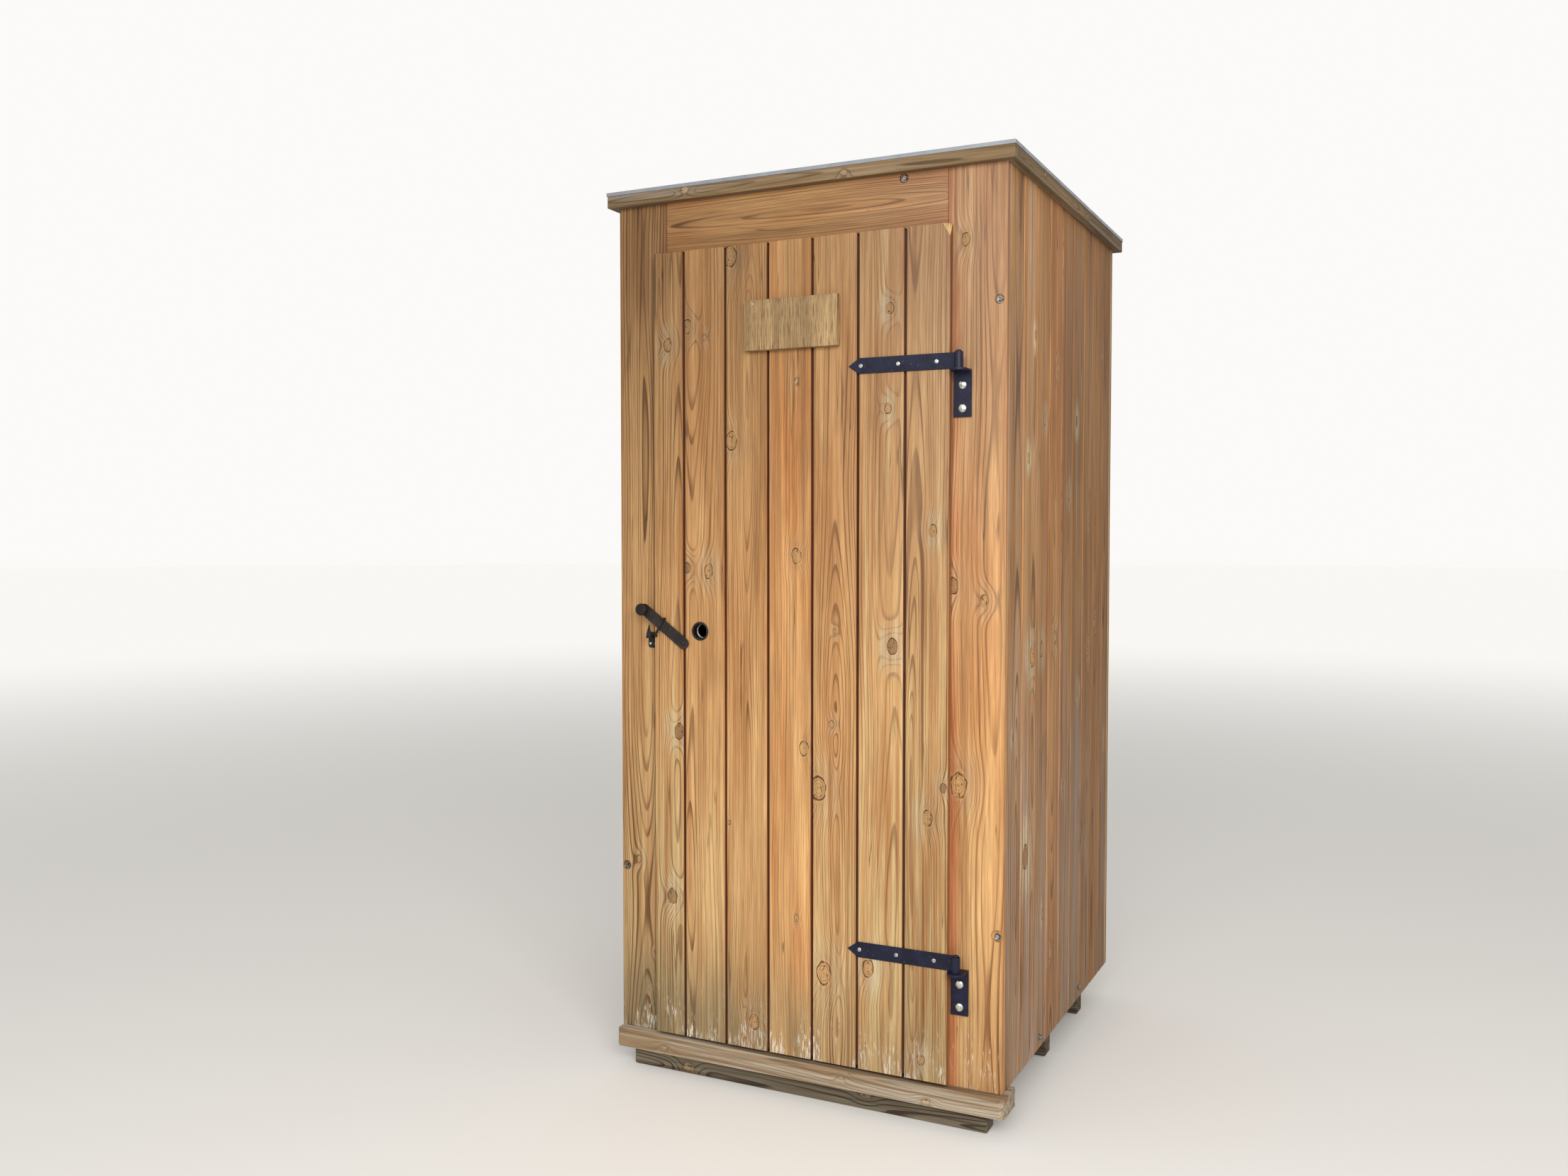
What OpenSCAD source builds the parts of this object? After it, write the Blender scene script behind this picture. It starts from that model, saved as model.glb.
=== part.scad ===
// A small wooden outhouse: a narrow hut of upright matched boards on a light
// timber frame, with an overlaid board door, plate pintles, strap hinges and
// a drop latch. Units are millimetres. The ground is z = 0 and the front
// faces -Y. The origin is under the middle of the middle bearer.

/* [Walls] */
// Width over the outside of the side walls
body_w = 1000; // [850:10:1400]
// Depth over the outside of the front and back boards
body_d = 1040; // [800:10:1500]
// Length of the upright wall boards
wall_h = 2070; // [1900:10:2400]
// Thickness of the wall boards
board_t = 20; // [16:1:28]
// Width that one matched wall board covers
board_cover = 115; // [90:1:150]
// Width of the shadow joint between two wall boards
wall_joint_w = 4; // [2:0.5:8]
// Depth of the shadow joint between two wall boards
wall_joint_d = 6; // [2:0.5:9]
// Depth of the joint seen on the inner face of the boards
inner_joint_d = 1.5; // [0.5:0.5:3]
// Size of the eased edges along the shadow joints
joint_ease = 1.5; // [0.5:0.5:3]
// Width of each front corner board
corner_board_w = 137; // [110:1:200]
// Height of the board over the doorway
header_h = 145; // [110:1:220]

/* [Base] */
// Width of the bearers under the floor
bearer_w = 50; // [40:1:80]
// Height of the middle and back bearers
bearer_h = 95; // [80:1:160]
// Distance from the back of the hut to the back bearer's middle
bearer_back_in = 180; // [60:5:250]
// Distance that the bearers stay in from each side
bearer_inset = 35; // [25:1:90]
// Height of the sill under the front boards
sill_h = 45; // [30:1:60]
// Distance that the sill stands out from the front boards
sill_proud = 30; // [15:1:60]
// Distance that the sill runs back under the floor
sill_back = 60; // [45:1:120]
// Distance that the sill runs past the right side
sill_overrun = 12; // [0:1:40]
// Size of the bevels worn on the sill's front corners
sill_bevel = 12; // [4:1:20]
// Fall of the sill's worn top edge towards the front
sill_fall = 4; // [1:1:10]
// Depth of the sill's worn top edge, from front to back
sill_fall_d = 8; // [2:1:20]
// Distance that the front beam is set back from the sill's face
beam_set_back = 30; // [10:1:40]
// Thickness of the floor boards
floor_t = 20; // [18:1:30]
// Width that one floor board covers
floor_cover = 120; // [90:1:160]
// Width and depth of the joints between the floor boards
floor_joint = 2; // [1:0.5:4]

/* [Frame] */
// Side of the square posts, rails and plates
stud = 45; // [35:1:70]
// Width of the two door posts, measured across the front
jamb_w = 95; // [70:1:110]
// Height of the middle rails above the floor
mid_rail_z = 950; // [600:10:1300]

/* [Roof] */
// Thickness of the roof boards
deck_t = 28; // [20:1:36]
// Thickness of the fascia boards
fascia_t = 22; // [16:1:30]
// Distance that the fascia hangs below the roof boards
fascia_drop = 7; // [2:1:30]
// Thickness of the roof cover
cover_t = 3; // [2:0.5:6]
// Depth of the cover's turned down edge
drip_h = 6; // [4:1:20]
// Thickness of the cover's turned down edge
drip_t = 1.5; // [1:0.5:3]

/* [Door] */
// Distance that the door covers the header board
door_lap_head = 14; // [8:1:30]
// Thickness of the door boards
door_t = 20; // [16:1:30]
// Gap between the door's back and the front boards
door_gap = 2; // [1:0.5:5]
// Gap between the door and the sill
door_lift = 8; // [5:1:20]
// Distance that the door covers the corner board at its hinges
door_lap_hinge = 13; // [8:1:30]
// Distance that the door covers the corner board at its latch
door_lap_latch = 25; // [10:1:40]
// Width of the door board at the latch
latch_board_w = 84; // [70:1:110]
// Width that one full door board covers
door_cover = 115; // [100:1:118]
// Width of the shadow joints on the door
door_joint_w = 5; // [2:0.5:8]
// Depth of the shadow joints on the door
door_joint_d = 8; // [3:0.5:10]
// Width of the ledges and the brace on the door's back
ledge_w = 95; // [70:1:120]
// Thickness of the ledges and the brace
ledge_t = 20; // [16:1:24]
// Gap from the ledges' ends to the corner boards
ledge_gap = 10; // [6:1:30]

/* [Hinges] */
// Distance from the door's foot to the lower strap's middle
strap_up = 282; // [200:1:450]
// Distance from the door's top to the upper strap's middle
strap_down = 304; // [250:1:450]
// Width of the straps
strap_w = 36; // [28:1:50]
// Thickness of the straps
strap_t = 3; // [2.5:0.5:5]
// Length of a strap from its tip to the pin
strap_len = 266; // [200:1:350]
// Length of the strap's pointed tip
strap_tip = 26; // [15:1:40]
// Distance from the strap's tip to its first screw hole
strap_hole_in = 30; // [24:1:40]
// Distance between the strap's screw holes
strap_hole_pitch = 91; // [60:1:95]
// Diameter of the strap's screw holes
strap_hole_d = 5.5; // [4:0.5:8]
// Diameter of the hinge pins
pin_d = 13; // [10:0.5:16]
// Clearance all round between a pin and its eye
pin_play = 0.3; // [0.2:0.05:0.6]
// Distance from the door's edge to the hinge pins
pin_out = 24; // [20:1:40]
// Distance that a pin stands above its eye
pin_top = 4; // [2:1:12]
// Running gap between a strap's eye and the tab under it
eye_gap = 0.3; // [0.2:0.1:1]
// Gap left where the rolled end of an eye meets its strap
roll_gap = 0.8; // [0.4:0.1:2]
// Width of the tab's rim around its pin
tab_rim = 13; // [6:0.5:14]
// Size of the bevel on top of a pin
pin_bevel = 2; // [1:0.5:4]
// Depth of the countersinks in the straps
sink_d = 1.8; // [1:0.1:2.2]
// Width of the pintle plates
pintle_w = 41; // [34:1:42]
// Height of the pintle plates
pintle_h = 105; // [85:1:140]
// Thickness of the pintle plates
pintle_t = 5; // [4:0.5:7]
// Distance from a pintle plate's top to its first bolt
bolt_down = 34; // [24:1:40]
// Distance between a pintle plate's bolts
bolt_pitch = 52; // [35:1:55]
// Diameter of a pintle plate's bolt holes
bolt_hole_d = 8.5; // [6:0.5:10]

/* [Latch] */
// Height of the latch pivot above the ground
latch_z = 1080; // [900:1:1300]
// Distance from the door's edge to the latch pivot
latch_in = 84; // [78:1:110]
// Length of the latch bar between its end centres
latch_len = 138; // [125:1:160]
// Width of the latch bar
latch_w = 28; // [20:1:32]
// Thickness of the latch bar
latch_t = 5; // [4:0.5:8]
// Angle at which the raised bar stands, in degrees
latch_up = 36; // [34:1:40]
// Angle from the raised bar down to the catch, in degrees
latch_drop = 12; // [10:1:16]
// Diameter of the latch pivot pin
latch_pin_d = 8; // [6:0.5:10]
// Clearance all round between the bar and its pivot pin
latch_play = 0.3; // [0.2:0.05:0.6]
// Thickness of the washer behind the bar
washer_t = 1.5; // [1:0.5:3]
// Diameter of the washer behind the bar
washer_d = 20; // [16:1:26]
// Diameter of the knob on the bar
knob_d = 30; // [22:1:34]
// Distance that the knob stands out from the bar
knob_out = 18; // [16:1:30]
// Diameter of the knob's neck
knob_neck_d = 16; // [10:1:19]
// Length of the knob's neck
knob_neck_h = 8; // [6:1:9]
// Radius of the knob's rounded edge
knob_edge_r = 3.5; // [1:0.5:4]
// Distance from the pivot to the middle of the guide loop
guide_at = 76; // [66:1:76]
// Width of the guide loop's strip
guide_w = 6; // [4:1:8]
// Thickness of the guide loop's strip
guide_t = 2.5; // [1.5:0.5:3]
// Running gap between the bar and its guide loop
guide_gap = 1.5; // [1:0.25:3]
// Distance from the door's edge to the catch's plate
catch_off = 2; // [1:1:6]
// Width of the catch's plate
catch_w = 28; // [24:1:34]
// Radius of the catch plate's corners
catch_round = 6; // [2:1:10]
// Distance from the door's edge to the middle of the catch's hook
hook_off = 10; // [8:1:14]
// Width of the catch's hook at its seat
hook_w = 12; // [8:1:14]
// Width of the hook's tip
hook_tip_w = 4; // [2:1:8]
// Thickness of the catch's back plate
catch_t = 4; // [3:0.5:6]
// Height of the catch's prong above its seat
catch_prong = 24; // [14:1:30]
// Running gap between the bar and the catch
catch_gap = 3.5; // [2:0.5:6]
// Thickness of the catch's seat
catch_seat_t = 10; // [6:1:14]
// Thickness of the catch's prong at its foot
catch_prong_t = 6; // [4:0.5:10]
// Height of the catch's plate above its seat
catch_above = 3; // [1:1:8]
// Height of the catch's plate below its seat
catch_below = 36; // [22:1:40]

/* [Fittings] */
// Distance from the door's edge to the middle of the finger hole
hole_in = 129; // [120:1:150]
// Height of the finger hole above the ground
hole_z = 1111; // [950:1:1300]
// Inner diameter of the finger hole's lining
hole_d = 36; // [24:1:38]
// Wall of the finger hole's lining
lining_t = 2; // [1.5:0.5:4]
// Width of the lining's rim around the hole
rim_w = 3; // [2:0.5:6]
// Height of the lining's rim on the door's face
rim_t = 2.5; // [1:0.5:4]
// Width of the blank sign board
sign_w = 240; // [160:1:300]
// Height of the blank sign board
sign_h = 118; // [80:1:160]
// Thickness of the blank sign board
sign_t = 18; // [10:1:24]
// Distance from the door's latch edge to the sign board
sign_in = 260; // [200:1:320]
// Distance from the door's top to the sign board
sign_down = 137; // [100:1:145]

/* [Hidden] */
$fn = 48;
front_y = -body_d / 2;
back_y = body_d / 2;
side_x = body_w / 2;
inner_x = side_x - board_t;
inner_front_y = front_y + board_t;
inner_back_y = back_y - board_t;
inner_d = inner_back_y - inner_front_y;
floor_z = bearer_h + floor_t;
wall_z = bearer_h;
wall_top_z = wall_z + wall_h;
stud_h = wall_top_z - floor_z;
plate_z = wall_top_z - stud;
jamb_x = inner_x - jamb_w;
sill_z = bearer_h - sill_h;
fascia_z = wall_top_z - fascia_drop;
fascia_h = deck_t + fascia_drop;
deck_top_z = wall_top_z + deck_t;
opening_x = side_x - corner_board_w;
door_left_x = -opening_x - door_lap_latch;
door_right_x = opening_x + door_lap_hinge;
door_w = door_right_x - door_left_x;
door_z = wall_z + door_lift;
door_top_z = wall_top_z - header_h + door_lap_head;
door_h = door_top_z - door_z;
door_boards_n = floor((door_w - latch_board_w - door_cover / 3) / door_cover);
strap_low_z = door_z + strap_up;
strap_high_z = door_top_z - strap_down;
door_back_y = front_y - door_gap;
door_face_y = door_back_y - door_t;
eye_r = pin_d / 2 + pin_play + strap_t;
pin_x = door_right_x + pin_out;
pin_y = door_face_y - eye_r;
latch_x = door_left_x + latch_in;
bar_back_y = door_face_y - washer_t;
bar_face_y = bar_back_y - latch_t;
latch_low = latch_up - latch_drop;
guide_angle = latch_up - latch_drop / 2;
guide_half = guide_at * tan(latch_drop / 2) + latch_w / 2 / cos(latch_drop / 2)
    + guide_w / 2 * tan(latch_drop / 2) + guide_gap;
catch_right_x = door_left_x - catch_off;
hook_x = door_left_x - hook_off;
catch_reach = latch_x - hook_x - hook_w / 2;
catch_seat_z = latch_z + catch_reach * tan(latch_low) - latch_w / 2 / cos(latch_low) - catch_gap;
prong_y = bar_face_y - catch_gap;
hole_x = door_left_x + hole_in;
skin = 0.01;

// Upright matched boards seen from above, with the outer face along y = 0.
// A shadow joint with eased edges shows outside at each place along x, and a
// fine V joint inside.
module board_plan(length, thick, joints, joint_w, joint_d) {
    half = joint_w / 2;
    difference() {
        square([length, thick]);
        for (x = joints) {
            polygon([
                [x - half - joint_ease - skin, -skin], [x - half, joint_ease], [x - half, joint_d],
                [x + half, joint_d], [x + half, joint_ease], [x + half + joint_ease + skin, -skin]
            ]);
            polygon([
                [x - inner_joint_d - skin, thick + skin], [x, thick - inner_joint_d],
                [x + inner_joint_d + skin, thick + skin]
            ]);
        }
    }
}

function even_joints(length, cover) = [for (x = [cover:cover:length - cover / 4]) x];

module board_wall(length) {
    linear_extrude(wall_h)
        board_plan(length, board_t, even_joints(length, board_cover), wall_joint_w, wall_joint_d);
}

module timber(x, y, z, w, d, h) {
    translate([x, y, z]) cube([w, d, h]);
}

// Base
module front_beam() {
    color("#5A4A3C")
        timber(-side_x + bearer_inset, front_y - sill_proud + beam_set_back, 0,
            body_w - 2 * bearer_inset, bearer_w, sill_z);
}

// The sill's front corners are bevelled, and its top edge carries a small fall
module sill() {
    sill_front_y = front_y - sill_proud;
    sill_d = sill_proud + sill_back;
    sill_w = body_w + sill_overrun;
    color("#9A8266")
        translate([-side_x, sill_front_y, sill_z])
            intersection() {
                linear_extrude(sill_h)
                    polygon([[0, sill_bevel], [sill_bevel, 0], [sill_w - sill_bevel, 0],
                        [sill_w, sill_bevel], [sill_w, sill_d], [0, sill_d]]);
                rotate([90, 0, 90])
                    linear_extrude(sill_w)
                        polygon([[0, 0], [sill_d, 0], [sill_d, sill_h], [sill_fall_d, sill_h],
                            [0, sill_h - sill_fall]]);
            }
}

module bearer(y) {
    color("#6B5846")
        timber(-side_x + bearer_inset, y - bearer_w / 2, 0, body_w - 2 * bearer_inset, bearer_w, bearer_h);
}

module bearer_middle() {
    bearer(0);
}

module bearer_back() {
    bearer(back_y - bearer_back_in);
}

// The floor boards run from front to back, with a fine joint between two
module floor_boards() {
    width = 2 * inner_x;
    color("#8F7250")
        translate([-inner_x, inner_front_y, bearer_h])
            difference() {
                cube([width, inner_d, floor_t]);
                for (x = even_joints(width, floor_cover))
                    translate([x - floor_joint / 2, -skin, floor_t - floor_joint])
                        cube([floor_joint, inner_d + 2 * skin, floor_joint + skin]);
            }
}

// Frame
module door_post(x) {
    color("#A98A5E") timber(x, inner_front_y, floor_z, jamb_w, stud, stud_h);
}

module back_post(x) {
    color("#A98A5E") timber(x, inner_back_y - stud, floor_z, stud, stud, stud_h);
}

module door_post_left() {
    door_post(-inner_x);
}

module door_post_right() {
    door_post(jamb_x);
}

module back_post_left() {
    back_post(-inner_x);
}

module back_post_right() {
    back_post(inner_x - stud);
}

module top_plate_front() {
    color("#A98A5E") timber(-jamb_x, inner_front_y, plate_z, 2 * jamb_x, stud, stud);
}

module top_plate_back() {
    color("#A98A5E")
        timber(-inner_x + stud, inner_back_y - stud, plate_z, 2 * (inner_x - stud), stud, stud);
}

module side_rail(x, z) {
    timber(x, inner_front_y + stud, z, stud, inner_d - 2 * stud, stud);
}

module top_plate_left() {
    color("#A98A5E") side_rail(-inner_x, plate_z);
}

module top_plate_right() {
    color("#A98A5E") side_rail(inner_x - stud, plate_z);
}

module side_rails(x) {
    color("#A98A5E")
        for (z = [floor_z, floor_z + mid_rail_z])
            side_rail(x, z);
}

module rails_left() {
    side_rails(-inner_x);
}

module rails_right() {
    side_rails(inner_x - stud);
}

module rails_back() {
    color("#A98A5E")
        for (z = [floor_z, floor_z + mid_rail_z])
            timber(-inner_x + stud, inner_back_y - stud, z, 2 * (inner_x - stud), stud, stud);
}

// Front boards
module corner_board(x) {
    color("#B07D48") timber(x, front_y, wall_z, corner_board_w, board_t, wall_h);
}

module corner_board_left() {
    corner_board(-side_x);
}

module corner_board_right() {
    corner_board(opening_x);
}

module header_board() {
    color("#B8743A")
        timber(-opening_x, front_y, wall_top_z - header_h, 2 * opening_x, board_t, header_h);
}

// Walls
module wall_right() {
    color("#8A6448")
        translate([side_x, inner_front_y, wall_z])
            rotate([0, 0, 90])
                board_wall(inner_d);
}

module wall_left() {
    color("#8A6448") mirror([1, 0, 0]) wall_right();
}

module wall_back() {
    color("#8A6448")
        translate([side_x, back_y, wall_z])
            rotate([0, 0, 180])
                board_wall(body_w);
}

// Roof
module roof_deck() {
    color("#8A744F") timber(-side_x, front_y, wall_top_z, body_w, body_d, deck_t);
}

// The cover lies on the roof boards and the fascia, with a turned down edge
module roof_cover() {
    w = body_w + 2 * (fascia_t + drip_t);
    d = body_d + 2 * (fascia_t + drip_t);
    color("#B9BFD0")
        difference() {
            timber(-w / 2, -d / 2, deck_top_z - drip_h, w, d, drip_h + cover_t);
            timber(-w / 2 + drip_t, -d / 2 + drip_t, deck_top_z - drip_h - skin,
                w - 2 * drip_t, d - 2 * drip_t, drip_h + skin);
        }
}

module fascia_front() {
    color("#8E7A55")
        timber(-side_x - fascia_t, front_y - fascia_t, fascia_z, body_w + 2 * fascia_t, fascia_t, fascia_h);
}

module fascia_back() {
    color("#8E7A55") mirror([0, 1, 0]) fascia_front();
}

module fascia_right() {
    color("#8E7A55") timber(side_x, front_y, fascia_z, fascia_t, body_d, fascia_h);
}

module fascia_left() {
    color("#8E7A55") mirror([1, 0, 0]) fascia_right();
}

// Hinges: a plate with its top bent out to a rounded tab, which carries an
// upright pin with a bevelled top
module pintle(strap_z) {
    tab_z = strap_z - strap_w / 2 - eye_gap;
    tab_r = pin_d / 2 + tab_rim;
    shaft_h = pintle_t + eye_gap + strap_w + pin_top - pin_bevel;
    color("#1F1F2B")
        difference() {
            union() {
                timber(pin_x - pintle_w / 2, front_y - pintle_t, tab_z - pintle_h,
                    pintle_w, pintle_t, pintle_h);
                timber(pin_x - tab_r, pin_y, tab_z - pintle_t, 2 * tab_r, front_y - pin_y, pintle_t);
                translate([pin_x, pin_y, tab_z - pintle_t]) {
                    cylinder(h = pintle_t, r = tab_r);
                    cylinder(h = shaft_h, d = pin_d);
                    translate([0, 0, shaft_h])
                        cylinder(h = pin_bevel, r1 = pin_d / 2, r2 = pin_d / 2 - pin_bevel);
                }
            }
            for (drop = [bolt_down, bolt_down + bolt_pitch])
                translate([pin_x, front_y + skin, tab_z - drop])
                    rotate([90, 0, 0])
                        cylinder(h = pintle_t + 2 * skin, d = bolt_hole_d);
        }
}

module pintle_lower() {
    pintle(strap_low_z);
}

module pintle_upper() {
    pintle(strap_high_z);
}

// A flat strap with a pointed tip and countersunk screw holes. Its end is
// rolled outwards into an eye, which leaves a slit where it meets the strap.
module strap(z) {
    tip_x = pin_x - strap_len;
    low_z = z - strap_w / 2;
    color("#1F1F2B")
        difference() {
            union() {
                translate([0, door_face_y, z])
                    rotate([90, 0, 0])
                        linear_extrude(strap_t)
                            polygon([[tip_x, 0], [tip_x + strap_tip, -strap_w / 2], [pin_x, -strap_w / 2],
                                [pin_x, strap_w / 2], [tip_x + strap_tip, strap_w / 2]]);
                translate([pin_x, pin_y, low_z]) cylinder(h = strap_w, r = eye_r);
            }
            translate([pin_x, pin_y, low_z - skin])
                cylinder(h = strap_w + 2 * skin, r = pin_d / 2 + pin_play);
            timber(pin_x - eye_r, door_face_y - strap_t - roll_gap, low_z - skin,
                eye_r, roll_gap, strap_w + 2 * skin);
            for (i = [0:2])
                translate([tip_x + strap_hole_in + i * strap_hole_pitch, door_face_y + skin, z])
                    rotate([90, 0, 0]) {
                        cylinder(h = strap_t + 2 * skin, d = strap_hole_d);
                        translate([0, 0, strap_t - sink_d + skin])
                            cylinder(h = sink_d + skin, r1 = strap_hole_d / 2,
                                r2 = strap_hole_d / 2 + sink_d);
                    }
        }
}

module strap_lower() {
    strap(strap_low_z);
}

module strap_upper() {
    strap(strap_high_z);
}

// Door
function door_joints() = [for (i = [0:door_boards_n]) latch_board_w + i * door_cover];

module door_boards() {
    color("#B07C47")
        difference() {
            translate([door_left_x, door_face_y, door_z])
                linear_extrude(door_h)
                    board_plan(door_w, door_t, door_joints(), door_joint_w, door_joint_d);
            translate([hole_x, door_back_y + skin, hole_z])
                rotate([90, 0, 0])
                    cylinder(h = door_t + 2 * skin, r = hole_d / 2 + lining_t);
        }
}

module door_ledge(z) {
    half = opening_x - ledge_gap;
    color("#A98A5E")
        timber(-half, door_back_y, z - ledge_w / 2, 2 * half, ledge_t, ledge_w);
}

module door_ledge_lower() {
    door_ledge(strap_low_z);
}

module door_ledge_upper() {
    door_ledge(strap_high_z);
}

// Length along its ledge of a brace's slanted end, for a brace of width w that
// spans the length a along the ledges and the height h between them
function brace_end(w, a, h) =
    let (k = h * h - w * w)
    (sqrt(a * a * w * w * w * w + k * w * w * (a * a + h * h)) - a * w * w) / k;

// The brace rises from the hinge side to the latch side between the ledges
module door_brace() {
    half = opening_x - ledge_gap;
    low = strap_low_z + ledge_w / 2;
    high = strap_high_z - ledge_w / 2;
    run = brace_end(ledge_w, 2 * half, high - low);
    color("#A98A5E")
        translate([0, door_back_y + ledge_t, 0])
            rotate([90, 0, 0])
                linear_extrude(ledge_t)
                    polygon([[half - run, low], [half, low], [-half + run, high], [-half, high]]);
}

module sign_board() {
    color("#A87B4C")
        timber(door_left_x + sign_in, door_face_y - sign_t, door_top_z - sign_down - sign_h,
            sign_w, sign_t, sign_h);
}

module finger_hole_lining() {
    color("#2B2524")
        translate([hole_x, door_back_y, hole_z])
            rotate([90, 0, 0])
                difference() {
                    union() {
                        cylinder(h = door_t, r = hole_d / 2 + lining_t);
                        translate([0, 0, door_t]) cylinder(h = rim_t, r = hole_d / 2 + lining_t + rim_w);
                    }
                    translate([0, 0, -skin]) cylinder(h = door_t + rim_t + 2 * skin, d = hole_d);
                }
}

// Latch: a flat bar turns on a pin in the door and runs through a guide loop
module latch_frame(angle) {
    translate([latch_x, door_face_y, latch_z])
        rotate([0, angle, 0])
            rotate([0, 0, 180])
                children();
}

module latch_pin() {
    color("#2B2524")
        translate([latch_x, door_face_y, latch_z])
            rotate([90, 0, 0])
                union() {
                    cylinder(h = washer_t, d = washer_d);
                    cylinder(h = washer_t + latch_t, d = latch_pin_d);
                }
}

// The loop stands across the bar, half way between its raised and low places
module latch_guide() {
    depth = washer_t + latch_t + guide_gap;
    color("#2B2524")
        latch_frame(guide_angle)
            translate([guide_at - guide_w / 2, 0, 0])
                difference() {
                    translate([0, 0, -guide_half - guide_t])
                        cube([guide_w, depth + guide_t, 2 * (guide_half + guide_t)]);
                    translate([-skin, -skin, -guide_half])
                        cube([guide_w + 2 * skin, depth + skin, 2 * guide_half]);
                }
}

module latch_bar() {
    color("#3D3936")
        latch_frame(latch_up)
            translate([0, washer_t + latch_t, 0])
                rotate([90, 0, 0])
                    difference() {
                        linear_extrude(latch_t)
                            union() {
                                circle(d = latch_w);
                                translate([0, -latch_w / 2]) square([latch_len, latch_w]);
                                translate([latch_len, 0]) circle(d = latch_w);
                            }
                        translate([0, 0, -skin])
                            cylinder(h = latch_t + 2 * skin, r = latch_pin_d / 2 + latch_play);
                    }
}

// A turned knob with a narrow neck and a rounded edge, seated on the bar's end
module latch_knob() {
    head_h = knob_out - knob_neck_h;
    flat_r = knob_d / 2 - knob_edge_r;
    color("#2B2524")
        latch_frame(latch_up)
            translate([latch_len, washer_t + latch_t, 0])
                rotate([-90, 0, 0])
                    rotate_extrude() {
                        square([knob_neck_d / 2, knob_neck_h + skin]);
                        translate([0, knob_neck_h]) square([flat_r, head_h]);
                        translate([0, knob_neck_h]) square([knob_d / 2, head_h - knob_edge_r]);
                        translate([flat_r, knob_out - knob_edge_r]) circle(r = knob_edge_r);
                    }
}

// A plate with rounded corners carries a pointed hook. The bar drops behind
// the hook, whose sloped front lifts it when the door is pushed shut.
module latch_catch() {
    plate_h = catch_below + catch_above;
    plate_y = front_y - catch_t;
    tip_y = prong_y - catch_prong_t;
    foot_z = catch_seat_z - catch_seat_t;
    tip_z = catch_seat_z + catch_prong;
    color("#1F1F2B") {
        translate([catch_right_x - catch_w, front_y, catch_seat_z - catch_below])
            rotate([90, 0, 0])
                linear_extrude(catch_t)
                    rounded_plate(catch_w, plate_h, catch_round);
        intersection() {
            translate([hook_x - hook_w / 2, 0, 0])
                rotate([90, 0, 90])
                    linear_extrude(hook_w)
                        polygon([
                            [plate_y + catch_t / 2, foot_z], [plate_y + catch_t / 2, catch_seat_z],
                            [prong_y, catch_seat_z], [prong_y, tip_z],
                            [tip_y, catch_seat_z - catch_seat_t / 2], [tip_y, foot_z]
                        ]);
            translate([hook_x, front_y, 0])
                rotate([90, 0, 0])
                    linear_extrude(front_y - tip_y + skin)
                        polygon([
                            [-hook_w / 2, foot_z], [-hook_w / 2, catch_seat_z], [-hook_tip_w / 2, tip_z],
                            [hook_tip_w / 2, tip_z], [hook_w / 2, catch_seat_z], [hook_w / 2, foot_z]
                        ]);
        }
    }
}

module rounded_plate(w, h, r) {
    translate([r, 0]) square([w - 2 * r, h]);
    translate([0, r]) square([w, h - 2 * r]);
    for (x = [r, w - r], z = [r, h - r])
        translate([x, z]) circle(r = r);
}

front_beam();
sill();
bearer_middle();
bearer_back();
floor_boards();  // floor
door_post_left();
door_post_right();
back_post_left();
back_post_right();
top_plate_front();
top_plate_back();
top_plate_left();
top_plate_right();
rails_left();
rails_right();
rails_back();
corner_board_left();
corner_board_right();
header_board();
wall_left();
wall_right();
wall_back();
roof_deck();
roof_cover();
fascia_front();
fascia_back();
fascia_left();
fascia_right();
pintle_lower();
pintle_upper();
latch_catch();
door_boards();
door_ledge_lower();
door_ledge_upper();
door_brace();
strap_lower();
strap_upper();
sign_board();
finger_hole_lining();
latch_guide();
latch_pin();
latch_bar();
latch_knob();
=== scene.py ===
import math
import random

import bmesh
import bpy
import numpy as np
from mathutils import Matrix, Vector


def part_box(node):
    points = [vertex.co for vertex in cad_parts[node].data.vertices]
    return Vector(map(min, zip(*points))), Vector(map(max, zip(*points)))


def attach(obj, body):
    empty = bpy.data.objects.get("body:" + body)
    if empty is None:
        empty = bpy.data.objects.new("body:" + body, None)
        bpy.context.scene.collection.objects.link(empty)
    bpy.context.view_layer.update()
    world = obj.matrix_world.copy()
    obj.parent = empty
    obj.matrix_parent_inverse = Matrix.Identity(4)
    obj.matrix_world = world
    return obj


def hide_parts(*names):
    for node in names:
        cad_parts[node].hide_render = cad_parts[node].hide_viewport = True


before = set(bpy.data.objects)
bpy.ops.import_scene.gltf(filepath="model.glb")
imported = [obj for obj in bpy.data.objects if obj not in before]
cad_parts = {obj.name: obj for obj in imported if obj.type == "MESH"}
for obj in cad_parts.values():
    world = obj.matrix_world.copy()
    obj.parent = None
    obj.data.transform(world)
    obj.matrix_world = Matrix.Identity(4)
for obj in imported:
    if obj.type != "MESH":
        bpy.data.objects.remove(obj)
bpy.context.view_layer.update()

# Pale floor, soft lamps and camera
# The hut stands on a plain painted floor that runs off into a white background. A big soft lamp in front and
# a smaller one to its right light the front and the side wall, and the white world fills in the shadows.


def paint(hex_code):
    """A colour as linear red, green, blue and alpha, from its sRGB hex code."""
    parts = [int(hex_code[i:i + 2], 16) / 255 for i in (1, 3, 5)]
    return [c / 12.92 if c <= 0.04045 else ((c + 0.055) / 1.055) ** 2.4 for c in parts] + [1.0]


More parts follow.
